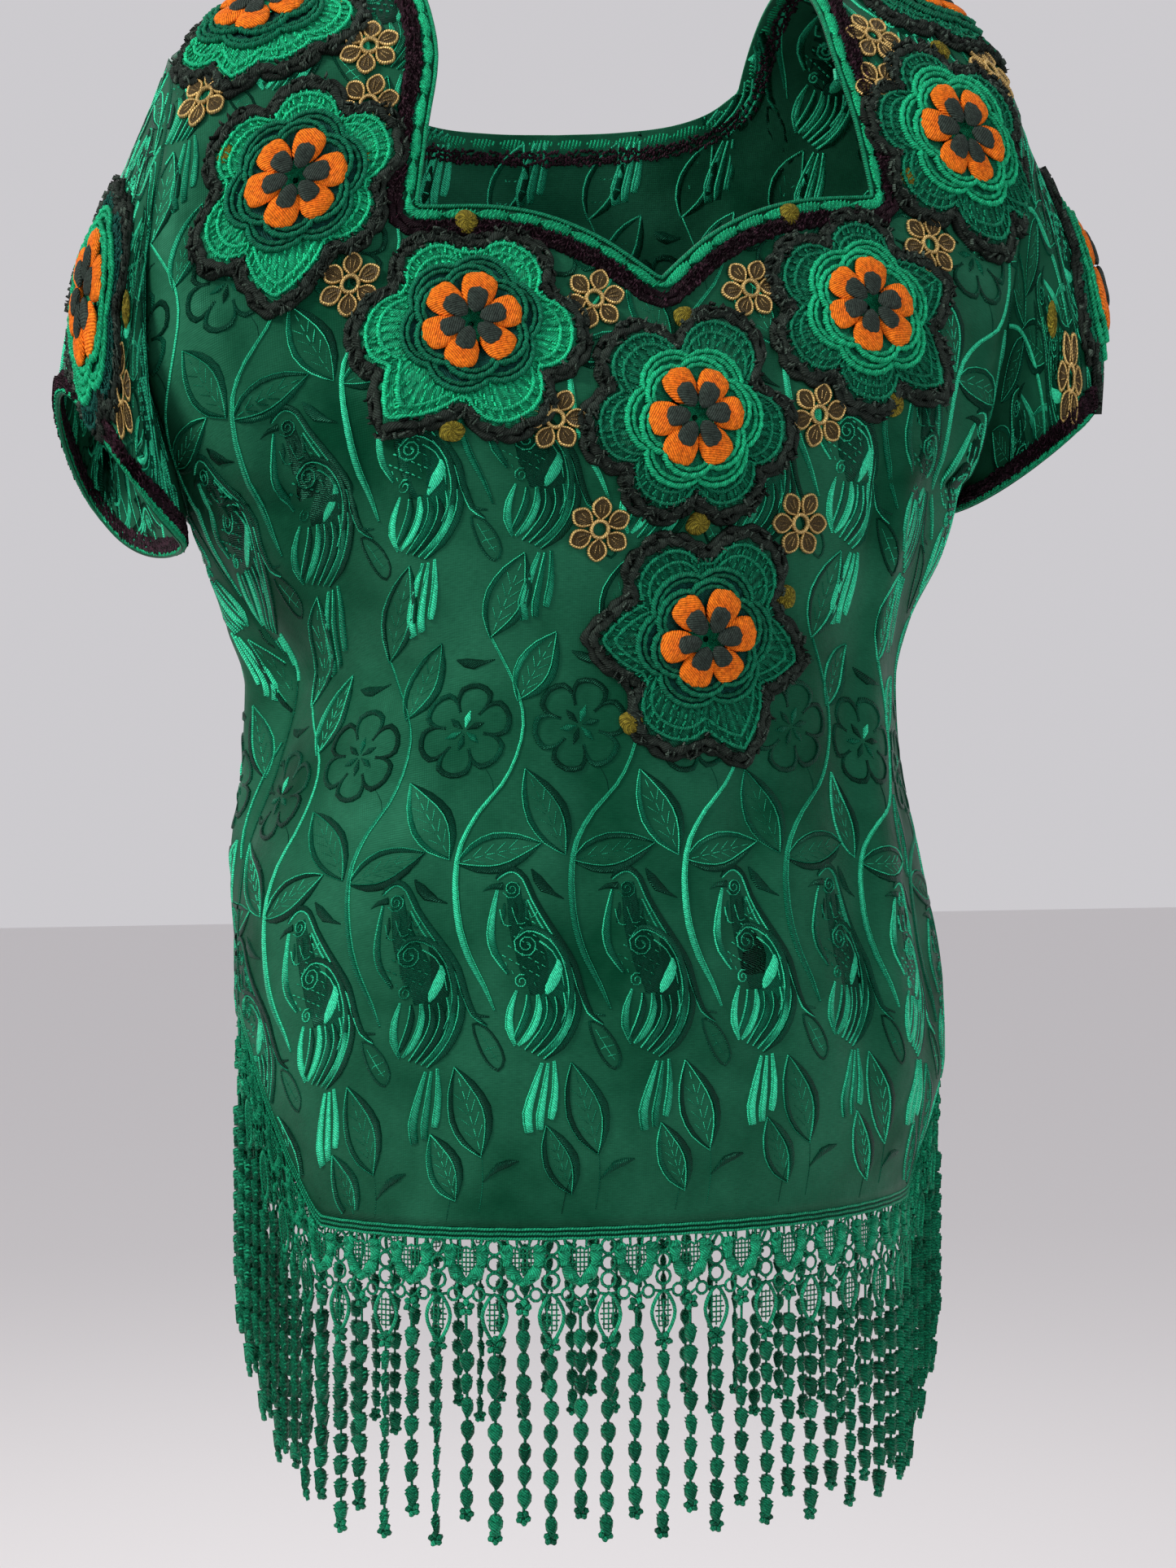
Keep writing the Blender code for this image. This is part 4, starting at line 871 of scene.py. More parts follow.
def embroider(pile, flat, u_reach, rows, seed):
    """Covers a panel with the repeat."""
    motifs = repeat()
    sprig = hem_sprig()
    count = int(u_reach / COLUMN_PITCH) + 2
    for column in range(-count, count + 1):
        u = COLUMN_AT + column * COLUMN_PITCH
        for row in range(rows):
            v = BIRD_DROP - row * REPEAT
            # Every other repeat gets a stronger painted sheen
            sheen_paint = 0.75 if (column + row) % 2 else 0.30
            lay(pile, flat, motifs, (u, v), -SET_IN, seed=seed + column * 7 + row, sheen_paint=sheen_paint)
            if row == 0:
                lay(pile, flat, sprig, (u, v), -SET_IN, seed=seed + column, sheen_paint=sheen_paint)


def patch(pile, flat, centre, outline, rings, tint_of, ribs=0, rib_high=0.0, lift=0.0, flip=1):
    """A raised lobed patch in polar form. outline(angle) gives its reach in millimetres, rings are (share of
    the reach, rise in millimetres) pairs from the middle out, and tint_of(share, angle) gives its colour."""
    count = max(48, 4 * ribs) if ribs else 96
    angle = around(count)
    reach = outline(angle)
    shares, rises = np.array(rings, float).T
    spots = reach[:, None] * shares[None, :]
    rise = np.broadcast_to(rises[None, :], spots.shape).copy()
    if ribs:
        fade = np.clip(np.sin(np.clip(shares, 0, 1) * math.pi), 0.25, 1)
        rise += rib_high * np.cos(angle * ribs)[:, None] * fade[None, :]
    u = centre[0] + spots * np.cos(angle)[:, None] * MM
    v = centre[1] - spots * np.sin(angle)[:, None] * MM
    points = flat.place(u, v, rise * MM + lift)
    tint = tint_of(*np.broadcast_arrays(shares[None, :], angle[:, None]))
    round_it = angle[:, None] * reach.mean() * MM * np.ones_like(spots)
    stitch = np.stack([spots * MM, round_it], axis=-1).reshape(-1, 2)
    pile.add(points.reshape(-1, 3), [grid_quads(*spots.shape)], tint.reshape(-1, 3), stitch)


def lobed(lobes, scale=1.0, valley=0.66):
    """The outline of a flower from its lobes: direction in degrees, reach in millimetres, 1 where pointed."""
    def outline(angle):
        best = np.full(angle.shape, valley * scale * np.mean([lobe[1] for lobe in lobes]))
        for direction, reach, pointed in lobes:
            off = np.abs(np.angle(np.exp(1j * (angle - math.radians(direction)))))
            near = np.clip(1 - off / math.radians(33), 0, 1)
            curve_out = near**0.95 if pointed else 1 - (1 - near) ** 2.6
            low = valley * reach
            best = np.maximum(best, (low + (reach - low) * curve_out) * scale)
        return best

    return outline


def ring_line(outline, inset, width, rise, beads, bead_high, tone=0.5, count=150, wobble=0.0):
    """A closed crocheted chain that follows an outline, thickened bead by bead."""
    angle = around(count)
    reach = outline(angle) - inset + wobble * np.sin(angle * beads / 2)
    path = np.stack([reach * np.cos(angle), reach * np.sin(angle)], axis=1)
    swell = 1 + bead_high * np.cos(angle * beads)
    return Stroke(path, width * swell, rise * swell, True, tone)


def six_lobes(radius, depth_share, turn_deg):
    def outline(angle):
        return radius * (1 - depth_share * (1 - np.abs(np.cos((angle - math.radians(turn_deg)) * 3)) ** 0.7))

    return outline


STYLES = {  # base petals, ring ruffle, its chains
    "bright": (GREEN, TEAL, GREEN_DARK),
    "mixed": (GREEN_DARK, GREEN_DARK, GREEN),
    "dark": (GREEN_DARK, TEAL, GREEN_DARK),
    "shade": (TEAL, GREEN_DARK, GREEN),
}


def crochet_flower(flower, flat, centre, thread):
    """A flower in layers: fan petals with a charcoal border, ring ruffles, and a rosette of two colours."""
    base_tint, ruffle_tint, chain_tint = (np.array(c) for c in STYLES[flower.style])
    seed = sum(map(ord, flower.name))
    rng = np.random.default_rng(abs(seed))
    outline = lobed(flower.lobes)
    flecks = rng.uniform(0.75, 1.25, 4096)

    def petal_tint(share, angle):
        grain = flecks[((angle * 300).astype(int) * 7 + (share * 90).astype(int) * 13) % 4096]
        streak = 0.82 + 0.30 * np.cos(angle * 57)
        edge = np.clip((share - 0.90) / 0.10, 0, 1)[..., None]
        return base_tint * (streak * grain)[..., None] * (1 - edge) + np.array(CHARCOAL) * edge

    pile = Pile()
    rings = [(0.28, 1.6), (0.40, 3.0), (0.52, 3.9), (0.64, 4.1), (0.76, 3.7), (0.88, 3.3), (0.97, 2.6),
             (1.02, 0.3)]
    patch(pile, flat, centre, outline, rings, petal_tint, ribs=57, rib_high=0.34)
    border = [ring_line(outline, 1.2, 5.4, 1.9, 46, 0.26, 0.5, 168, 0.7),
              ring_line(outline, -2.6, 4.2, 1.5, 38, 0.30, 0.3, 168, 1.0)]
    edge_tints = (np.multiply(CHARCOAL, 0.4), np.multiply(CHARCOAL, 2.2))
    knots, stitches = [], []
    for _ in range(240):
        angle = rng.uniform(0, 2 * math.pi)
        reach = outline(np.array([angle]))[0] + rng.uniform(-4.8, 4.2)
        lie = rng.uniform(0, 2 * math.pi)
        middle = heading(angle) * reach
        arm = heading(lie) * rng.uniform(1.2, 2.2)
        knots.append(stroke([middle - arm, middle + arm], [1.3, 1.5], rng.uniform(0, 1) ** 2, 1.7))
    for row in range(6):
        share = 0.56 + 0.064 * row
        for step in range(46 + 5 * row):
            angle = (step + 0.5 * (row % 2) + rng.uniform(-0.3, 0.3)) / (46 + 5 * row) * 2 * math.pi
            reach = outline(np.array([angle]))[0] * share
            along = heading(angle)
            aside = np.array([-along[1], along[0]]) * rng.uniform(-0.5, 0.5)
            stitches.append(stroke([along * (reach - 1.7), along * (reach + 1.5) + aside * 2], [1.0, 1.5],
                                   rng.uniform(0.2, 0.9), 0.6))
    rows = [ring_line(outline, inset, 2.2, 1.1, 60, 0.35, 0.55, 128) for inset in (6.4, 12.4)]
    for strokes, high, tints, more in (
        (rows, 3.7, (base_tint * 0.45, base_tint * 1.7), 5),
        (stitches, 4.2, (base_tint * 0.5, base_tint * 2.0), 2),
        (knots, 3.9, (np.multiply(CHARCOAL, 0.5), np.multiply(CHARCOAL, 6.0)), 9),
        (border[:1], 2.6, edge_tints, 0), (border[1:], 1.6, edge_tints, 1),
    ):
        lay(pile, flat, strokes, centre, high * MM, tints, seed=seed + more, clip=False)
    for k in range(2):
        rim = six_lobes(36.0 - 6.5 * k, 0.16, flower.turn + 14 * k)
        high = 5.2 + 1.6 * k

        def ruffle(share, angle):
            return ruffle_tint * (0.7 + 0.5 * share + 0.15 * np.cos(angle * 40))[..., None]

        rings = [(0.50, high - 2.2), (0.68, high - 0.9), (0.84, high - 0.1), (0.97, high)]
        patch(pile, flat, centre, rim, rings, ruffle, ribs=40, rib_high=0.22)
        patch(pile, flat, centre, rim, [(0.97, high), (0.99, high - 1.0), (0.90, high - 2.0)], ruffle)
        chains = [ring_line(rim, 0.2, 3.0, 1.45, 44 - 6 * k, 0.24, 0.55, 132),
                  ring_line(rim, 3.3, 2.8, 1.25, 38 - 6 * k, 0.24, 0.35, 120)]
        tints = (chain_tint * 0.55, chain_tint * 1.35)
        lay(pile, flat, chains, centre, (high + 0.3) * MM, tints, seed=seed + 3 + k, clip=False)
    petals = pile.make(f"crochet_{flower.name}", "petals", thread, [f"petals_{flower.name}"])

    top = Pile()
    eye = six_lobes(10.5, 0.05, 0)
    patch(top, flat, centre, eye, [(0.15, 4.4), (0.60, 4.8), (1.0, 5.6)],
          lambda share, angle: np.array(GREEN) * (0.5 + 0.5 * share)[..., None])
    for k in range(PETALS):
        turn = math.radians(flower.turn + 60 * k + rng.uniform(-5, 5))
        for reach, long, wide, low, high, tint, deep in (
            (16.2, 10.4, 10.6, 8.0, 2.8, ORANGE, ORANGE_DEEP), (10.6, 7.2, 6.2, 10.3, 2.0, SLATE, CHARCOAL),
        ):
            size = rng.uniform(0.94, 1.06)
            along = heading(turn)
            at = np.array(centre) + np.array([along[0], -along[1]]) * reach * MM
            petal(top, flat, at, turn, long * size, wide * size, low, high, tint, deep)
    rosette = top.make(f"rosette_top_{flower.name}", "rosette", thread, [f"rosette_{flower.name}"])
    return petals, rosette


def petal(pile, flat, at, turn, long, wide, low, high, tint, deep):
    """One domed petal, narrower toward the flower's middle, with stitches across it."""
    count, shares = 22, np.array([0.05, 0.38, 0.68, 0.90, 1.0, 0.92])
    rises = np.array([1.0, 0.95, 0.78, 0.46, 0.10, -0.35]) * high
    angle = around(count)
    narrow = 1 - 0.42 * (1 - np.cos(angle)) / 2
    square = np.sign(np.cos(angle)) * np.abs(np.cos(angle)) ** 0.75
    x = (square + 0.03 * np.cos(angle * 7))[:, None] * shares * long * 0.92
    y = (np.sin(angle) * narrow)[:, None] * shares * wide
    rise = np.broadcast_to(rises, x.shape) + 0.16 * np.cos(angle * 11)[:, None] * shares
    cos, sin = math.cos(turn), math.sin(turn)
    u, v = at[0] + (x * cos - y * sin) * MM, at[1] - (x * sin + y * cos) * MM
    points = flat.place(u, v, (low + rise) * MM)
    shade = np.clip(np.broadcast_to(shares, x.shape) * 0.9 + 0.15, 0, 1)
    mix = np.clip(0.35 + 0.65 * shade + 0.2 * np.cos(angle * 9)[:, None], 0, 1)
    cap = np.arange(count) * len(shares)
    half = count // 2
    caps = np.stack([cap[: half - 1], cap[1:half], cap[::-1][1:half], cap[::-1][: half - 1]], axis=1)
    pile.add(points.reshape(-1, 3), [grid_quads(*x.shape), caps], lerp(deep, tint, mix).reshape(-1, 3),
             np.stack([x.ravel() * MM, y.ravel() * MM], axis=1))


def gold_flower(blossom, flat, centre, thread):
    """A small gold thread flower: six dished petals with corded rims round an open ring."""
    pile = Pile()
    parts, seed = [], int(blossom.name[-2:])
    for k in range(PETALS):
        turn = math.radians(blossom.turn + 60 * k)
        along = heading(turn)
        aside = np.array([-along[1], along[0]])
        rim = [along * 5.2 + aside * 0.6, along * 8.2 + aside * 3.6, along * 12.4 + aside * 4.2, along * 16.0,
               along * 12.4 - aside * 4.2, along * 8.2 - aside * 3.6, along * 5.2 - aside * 0.6]
        parts.append(stroke(rim, [1.3, 1.7, 1.6, 1.7, 1.3], tone=0.8, rise=1.2, per=3))
        at = np.array(centre) + np.array([along[0], -along[1]]) * 10.6 * MM
        petal(pile, flat, at, turn, 6.4, 5.0, 1.5, 0.8, np.multiply(GOLD, 0.22), np.multiply(GOLD_DARK, 0.25))
        for lean in (-1.3, 1.3):
            vein = [along * 7.8 + aside * lean * 0.5, along * 12.4 + aside * lean]
            parts.append(stroke(vein, [0.7], 0.2, 1.0))
    angle = around(14)
    middle = np.stack([np.cos(angle), np.sin(angle)], axis=1) * 4.4
    parts.append(even_stroke(middle, 2.2, 1.3, 0.5, closed=True))
    tints = (np.multiply(GOLD, 0.5), np.multiply(GOLD, 2.0))
    lay(pile, flat, parts, centre, 1.9 * MM, tints, seed=seed, clip=False)
    return pile.make(f"gold_flower_{blossom.name[-2:]}", "gold", thread, [blossom.name])


def dots(flats, thread):
    """The small olive dots: tight lumps of crochet."""
    pile = Pile()
    for number, (on, across, drop) in enumerate(DOTS):
        flat = flats[on]
        centre = place_of(flats, on, across, drop)
        rng = np.random.default_rng(40 + number)
        bumps = rng.uniform(0.85, 1.12, 7)

        def outline(angle):
            return DOT_RADIUS / MM * np.interp(angle, np.linspace(0, 2 * math.pi, 8), [*bumps, bumps[0]])

        def tint(share, angle):
            return np.array(OLIVE) * (0.8 + 0.35 * np.cos(angle * 9 + share * 14))[..., None]

        rings = [(0.08, 4.4), (0.40, 4.2), (0.72, 3.4), (0.94, 2.2), (1.0, 0.2)]
        patch(pile, flat, centre, outline, rings, tint, ribs=12, rib_high=0.3)
        patch(pile, flat, centre, lambda angle: np.full(angle.shape, 0.6), [(0.01, 4.5), (1.0, 4.4)], tint)
    return pile.make("olive_dots", "gold", thread)


def place_of(flats, on, across, drop):
    """(u, v) of a flower's place."""
    if on == "front":
        return float(flats["front"].u_at(across, drop)), drop
    return flats[on].uv_at(across, drop)


def neck_line(flat, grid, strap_cells, centre_cells):
    """The neckline in millimetres, down the right strap, along the front and up the left strap."""
    across, drop, _ = grid
    last = strap_cells + centre_cells
    right = [(across[strap_cells, j], drop[strap_cells, j]) for j in range(STRAP_ROWS)]
    middle = [(across[i, STRAP_ROWS], drop[i, STRAP_ROWS]) for i in range(strap_cells, last + 1)]
    left = [(across[last, j], drop[last, j]) for j in range(STRAP_ROWS)]
    path = np.array(right + middle + left[::-1])
    return np.stack([flat.u_at(path[:, 0], path[:, 1]), -path[:, 1]], axis=1) / MM


def evenly(path, pitch):
    """Points spaced about pitch apart on a line, and their directions, eased round its corners."""
    lengths = lengths_along(path)
    count = max(2, round(lengths[-1] / pitch))
    places = np.linspace(0, lengths[-1], count + 1)
    points = np.stack([np.interp(places, lengths, path[:, k]) for k in range(2)], axis=1)
    run = np.gradient(points, axis=0)
    for _ in range(3):
        run[1:-1] = (run[:-2] + 2 * run[1:-1] + run[2:]) / 4
    return points, unit(run)


def beside(path, inset, pitch=2.0):
    """The line at a distance to the right of a path."""
    points, run = evenly(path, pitch)
    inset = np.broadcast_to(inset, len(points))
    return points + right_of(run) * inset[:, None]


def edging(name, flat, path, node, thread, scallops, widths, seed):
    """A corded band along an edge: a green binding, green scallops, and a dark knobbly band beside them."""
    rng = np.random.default_rng(abs(seed))
    pile = Pile()
    green_at, green_wide, dark_at, dark_wide = widths
    binding = beside(path, 1.0, 3.0)
    bound = [even_stroke(binding, 2.4, 1.0, 0.3)]
    lay(pile, flat, bound, lift=0.7 * MM, colours=(GREEN_DARK, GREEN), seed=seed, clip=False)
    lobes = []
    line = beside(path, green_at, 2.2)
    step = 8 if scallops else 4
    for start in range(0, len(line) - step, step):
        piece = line[start : start + step + 1]
        wide = np.interp(np.linspace(0, 1, len(piece)), [0, 0.25, 0.6, 0.85, 1], [0.18, 0.85, 1.0, 0.8, 0.15])
        wide = wide * green_wide * rng.uniform(0.92, 1.06)
        lobes.append(Stroke(piece, wide, np.full(len(piece), 1.7), False, rng.uniform(0.25, 0.6)))
        for j in range(len(piece) - 1):
            slant = piece[j + 1] - piece[j]
            side = np.array([slant[1], -slant[0]])
            side = side / max(np.hypot(*side), 1e-6) * wide[j] * 0.42
            middle = (piece[j] + piece[j + 1]) / 2
            ends = [middle - side + slant * 0.3, middle + side - slant * 0.2]
            lobes.append(stroke(ends, [1.1, 1.3], 0.9, 2.2))
    tints = (np.multiply(GREEN, 0.45), np.multiply(GREEN, 1.5))
    lay(pile, flat, lobes, lift=0.3 * MM, colours=tints, seed=seed, clip=False)
    dark = []
    points, run = evenly(path, 1.9)
    bump = np.cos(np.arange(len(points)) * 2.1) * 1.1 + rng.uniform(-0.4, 0.4, len(points))
    for share, wide in ((-0.24, 0.62), (0.26, 0.62)):
        shift = dark_at + share * dark_wide
        spots = points + right_of(run) * (shift + bump * 0.8)[:, None]
        width = dark_wide * wide * (1 + 0.16 * np.cos(np.arange(len(points)) * 2.1 + share * 9))
        dark.append(Stroke(spots, width, np.full(len(points), 1.5) + 0.25 * bump, False, 0.35))
    for j in range(len(points) - 1):
        aside = np.array([run[j, 1], -run[j, 0]])
        middle = points[j] + aside * dark_at
        slant = run[j] * 1.2
        reach = aside * dark_wide * 0.46
        hook = [middle - reach - slant, middle + slant, middle + reach - slant]
        dark.append(stroke(hook, [1.3, 1.5, 1.3], 0.9, 1.9, per=1))
    tints = (np.multiply(PLUM, 0.6), np.multiply(PLUM, 2.6))
    lay(pile, flat, dark, lift=0.3 * MM, colours=tints, seed=seed + 1, clip=False)
    flecks = []
    for j in range(len(points)):
        aside = np.array([run[j, 1], -run[j, 0]])
        for share in (-0.34, 0.0, 0.34):
            middle = points[j] + aside * (dark_at + dark_wide * (share + rng.uniform(-0.16, 0.16)))
            lie = rng.uniform(0, 2 * math.pi)
            arm = heading(lie) * 1.3
            flecks.append(stroke([middle - arm, middle + arm], [1.3, 1.5], rng.uniform(0, 1) ** 2, 3.3))
    lay(pile, flat, flecks, lift=0.3 * MM, colours=(PLUM, np.multiply(PLUM, 7.0)), seed=seed + 2, clip=False)
    return pile.make(name, "edging", thread, [node])


def ring(x, y, radius, width=1.2, count=10, tone=0.5):
    angle = around(count)
    path = np.stack([x + radius * np.cos(angle), y + radius * np.sin(angle) * 1.05], axis=1)
    return even_stroke(path, width, 0.75, tone, closed=True)


def small_blossom(x, y, radius, rng):
    """Five short petals that stand on a strand's head."""
    parts, begin = [], rng.uniform(0, 2 * math.pi)
    for k in range(5):
        angle = begin + k * 2 * math.pi / 5
        cos, sin = math.cos(angle), math.sin(angle)
        path = [(x + reach * cos, y + reach * sin) for reach in (0.8, radius * 0.7, radius * 1.1)]
        parts.append(stroke(path, [1.5, 3.8, 2.0], rng.uniform(0.2, 0.8), 1.3, per=1))
    return parts


def lace_repeat(x, half, rng):
    """One repeat of the lace round x, below the hem: a shell with a net, rings, a leaf drop and a blossom."""
    tone = rng.uniform(0.50, 0.75)
    parts = []
    rim = [(-6.4, -9.2), (-8.7, -13.0), (-7.9, -18.4), (-5.6, -23.6), (0, -27.6), (5.6, -23.6), (7.9, -18.4),
           (8.7, -13.0), (6.4, -9.2)]
    widths = [3.0, 7.6, 4.2, 7.2, 4.4, 7.2, 4.2, 7.6, 3.0]
    parts.append(stroke([(x + a * 0.94, b) for a, b in rim], widths, tone, 1.7))
    lobes = ((-9.4, -11.6), (-9.0, -19.0), (-5.2, -25.4), (0, -28.6), (5.2, -25.4), (9.0, -19.0),
             (9.4, -11.6))
    for a, b in lobes:
        lobe = [(x + a * 0.72, b * 0.94), (x + a, b), (x + a * 1.08, b * 1.02)]
        parts.append(stroke(lobe, [3.4, 5.8, 2.6], tone + 0.1, 2.3, per=1))
        # Each lobe's raised hook is in the brightest tone: a painted highlight on its rim
        hook = [(x + a * 0.80 - 1.6, b), (x + a * 1.12, b * 1.05), (x + a * 0.80 + 1.6, b)]
        parts.append(stroke(hook, [1.1, 1.2, 1.1], 0.95, 2.7, per=1))
    wave = [(x - 5, -10), (x - 2.4, -11.4), (x, -10.2), (x + 2.4, -11.4), (x + 5, -10)]
    parts.append(stroke(wave, [1.4], tone, 0.8, per=1))
    bars = [[(x + a, -11.0), (x + a, -24.4 + abs(a) * 1.1)] for a in (-4.0, -2.0, 0.0, 2.0, 4.0)]
    bars += [[(x - 5.4, b), (x + 5.4, b)] for b in (-13.0, -15.4, -17.8, -20.2, -22.4)]
    parts += [stroke(bar, [0.85], 0.45, 0.45) for bar in bars]
    for a, b in ((-7.4, -9.6), (-3.0, -10.6), (3.0, -10.6), (7.4, -9.6)):
        parts.append(stroke([(x + a * 1.1, -5.8), (x + a, b)], [1.5, 1.3], 0.5, 0.6))
    mid = x + half
    for b in (-10.2, -18.6, -26.8):
        parts.append(ring(mid, b, 3.7, 1.7))
    for a, b in ((mid, -5.8), (mid, -30.4)):
        parts.append(stroke([(a, b), (a, b - 2.0)], [1.5, 1.5], 0.5, 0.6))
    for way in (1, -1):
        parts.append(stroke([(mid + way * 3.4, -16.0), (mid + way * 5.6, -15.0)], [1.4, 1.4], 0.5, 0.6))
        parts.append(ring(x + way * 6.4, -33.8, 3.0, 1.6))
        parts.append(stroke([(x + way * 3.2, -34.0), (x, -36.4)], [1.5, 1.5], 0.5, 0.6))
        parts.append(stroke([(x + way * 8.6, -33.4), (x + way * (half - 0.3), -34.2)], [1.5, 1.5], 0.5, 0.6))
        parts.append(stroke([(x + way * 5.4, -31.0), (x + way * 3.8, -27.6)], [1.5, 1.5], 0.5, 0.6))
    drop = [(0, -33.6), (4.2, -38.4), (6.2, -44.6), (4.4, -51.4), (0, -57.4), (-4.4, -51.4), (-6.2, -44.6),
            (-4.2, -38.4)]
    parts.append(stroke([(mid + a, b) for a, b in drop], [2.0], 0.6, 1.0, closed=True))
    bars = [[(mid + a, -38.0 + abs(a) * 0.4), (mid + a, -53.4 + abs(a) * 0.8)] for a in (-2.4, 0.0, 2.4)]
    for b in (-38.8, -41.4, -44.0, -46.6, -49.2, -51.6):
        reach = 4.6 - abs(b + 44.6) * 0.32
        bars.append([(mid - reach, b), (mid + reach, b)])
    parts += [stroke(bar, [0.85], 0.45, 0.45) for bar in bars]
    return parts + small_blossom(x, -40.4, 3.9, rng)


def strand(x, top, end, rng):
    """A strand of the fringe: a blossom, then knots like small cups on one thread."""
    sway, phase = rng.uniform(0.4, 1.4), rng.uniform(0, 6.28)
    drift = math.copysign(1.2, math.cos(phase))

    def at(y):
        down = (top - y) / (top - end)
        return x + sway * math.sin(phase + down * 4.2) * down + drift * down * down

    levels = np.linspace(top, end + 1.5, 12)
    parts = [even_stroke(np.array([(at(y), y) for y in levels]), 1.5, 0.8, 0.35)]
    if top < -50:
        parts += small_blossom(x, top - 2.0, 4.2, rng)
    y = top - 8.5
    facing = 0.52 if rng.uniform() < 0.3 else 1.0
    while y > end + 8:
        wide = 7.8 * rng.uniform(0.80, 1.04) * facing
        a, tone = at(y), rng.uniform(0.12, 0.42)
        tilt = rng.uniform(-0.7, 0.7)
        cup = [(a, y + 0.8), (a + tilt * 0.3, y - 2.0), (a + tilt * 0.6, y - 5.2), (a + tilt, y - 8.2)]
        parts.append(stroke(cup, [wide * 0.62, wide, wide * 0.92, 2.6], tone, 1.6 + wide * 0.16, per=1))
        # Each cup's two raised rims are in the brightest tone: painted highlights on its lips
        rim = [(a - wide * 0.38, y - 0.6), (a, y - 1.9), (a + wide * 0.38, y - 0.6)]
        parts.append(stroke(rim, [1.5, 1.7, 1.5], 0.95, 3.4, per=1))
        low_rim_highlight = [(a - wide * 0.40, y - 2.2), (a + tilt * 0.5, y - 6.8), (a + wide * 0.40, y - 2.2)]
        parts.append(stroke(low_rim_highlight, [1.2, 1.4, 1.2], 0.85, 3.0, per=1))
        y -= 11.4 * rng.uniform(0.96, 1.05)
    parts += small_blossom(at(end), end + 3.6, 3.4, rng)
    return parts


def lace_and_fringe(side, thread):
    """The lace and the fringe below one panel's hem."""
    flat = HemFlat(-1 if side == "front" else 1)
    rng = np.random.default_rng(60 if side == "front" else 61)
    length = flat.length / MM
    pitch = length / LACE_REPEATS
    lace, fringe = Pile(), Pile()
    xs = np.linspace(0.6, length - 0.6, 130)
    cords = [even_stroke(np.stack([xs, xs * 0 - 3.3], axis=1), 6.4, 0.35, -0.5)]
    for y, width in ((-1.0, 1.9), (-3.4, 1.8), (-5.8, 1.8)):
        cords.append(even_stroke(np.stack([xs, y + 0.15 * np.sin(xs * 0.9)], axis=1), width, 0.95, 0.55))
    tints = (LACE_GREEN, LACE_PAINTED_HIGHLIGHT)
    lay(lace, flat, cords, lift=-LACE_BACK, colours=tints, seed=1, clip=False)
    parts, hanging = [], []
    for k in range(LACE_REPEATS):
        x = (k + 0.25) * pitch
        parts += lace_repeat(x, pitch / 2, rng)
        hanging += strand(x, -44.0, -(FRINGE_TOP + FRINGE_SHORT) / MM + rng.uniform(0, 3), rng)
        hanging += strand(x + pitch / 2, -57.0, -(FRINGE_TOP + FRINGE_LONG) / MM + rng.uniform(0, 3), rng)
    # The lace and the fringe get a weaker painted sheen
    lay(lace, flat, parts, lift=-LACE_BACK, colours=tints, seed=2, sheen_paint=0.45, shapes=HANGING)
    lay(fringe, flat, hanging, lift=-LACE_BACK, colours=tints, seed=3, sheen_paint=0.30, shapes=HANGING)
    return (lace.make(f"lace_net_{side}", "lace", thread, [f"lace_{side}"]),
            fringe.make(f"fringe_strands_{side}", "lace", thread, [f"fringe_{side}"]))


def lower_rows():
    underarm = (YOKE_OUTER_Z - UNDERARM_Z) / (YOKE_OUTER_Z - hem_z(1.0))
    upper = np.linspace(0, underarm, ARMHOLE_ROWS + 1)
    lower = np.linspace(underarm, 1, LOWER_ROWS + 1)
    return np.concatenate([upper, lower[1:]])


def panel_grid(side, neck, centre_cells, strap_cells, outer_z):
    """(across, drop) of each grid point of a panel, and which cells are cloth. The upper rows hold the two
    straps and the lower rows the whole width, from the neckline or yoke row to the hem."""
    corner_half, corner_z = neck[-1]
    parts = []
    for sign in (-1, 1):
        corner = corner_half / half_width(corner_z, sign)
        angle = np.linspace(math.asin(corner), math.pi / 2, strap_cells + 1)
        parts.append(sign * np.sin(angle))
    middle = np.linspace(-corner_half, corner_half, centre_cells + 1)[1:-1]
    centre = middle / half_width(corner_z, middle)
    yoke = np.concatenate([parts[0][::-1], centre, parts[1]])
    corner = np.where(yoke < 0, abs(parts[0][0]), parts[1][0])
    flank = np.clip((np.abs(yoke) - corner) / (1 - corner), 0, 1)
    neck_z = smooth(np.abs(yoke * half_width(corner_z, yoke)), neck)
    yoke_z = np.where(flank > 0, corner_z + (outer_z - corner_z) * flank, neck_z)
    rows = [(yoke, drop_at(yoke, yoke_z + (hem_z(yoke) - yoke_z) * t)) for t in lower_rows()]
    yoke_drop = rows[0][1]
    upper = []
    for down in np.arange(STRAP_ROWS) / STRAP_ROWS:
        straight = STRAP_EDGE[0][1] + (corner_half - STRAP_EDGE[0][1]) * down
        edge_half = smooth(down, STRAP_EDGE) if side < 0 else straight
        edge_z = height(corner, yoke_drop[strap_cells] * down)[0]
        edge = edge_half / half_width(edge_z, yoke)
        in_strap = np.abs(yoke) >= corner - 1e-9
        spread = np.where(in_strap, np.sign(yoke) * (edge + (1 - edge) * flank), yoke)
        upper.append((spread, yoke_drop * down))
    grid = upper + rows
    across = np.stack([row[0] for row in grid], axis=1)
    drop = np.stack([row[1] for row in grid], axis=1)
    cells = np.ones((across.shape[0] - 1, across.shape[1] - 1), bool)
    cells[strap_cells : strap_cells + centre_cells, :STRAP_ROWS] = False
    return across, drop, cells


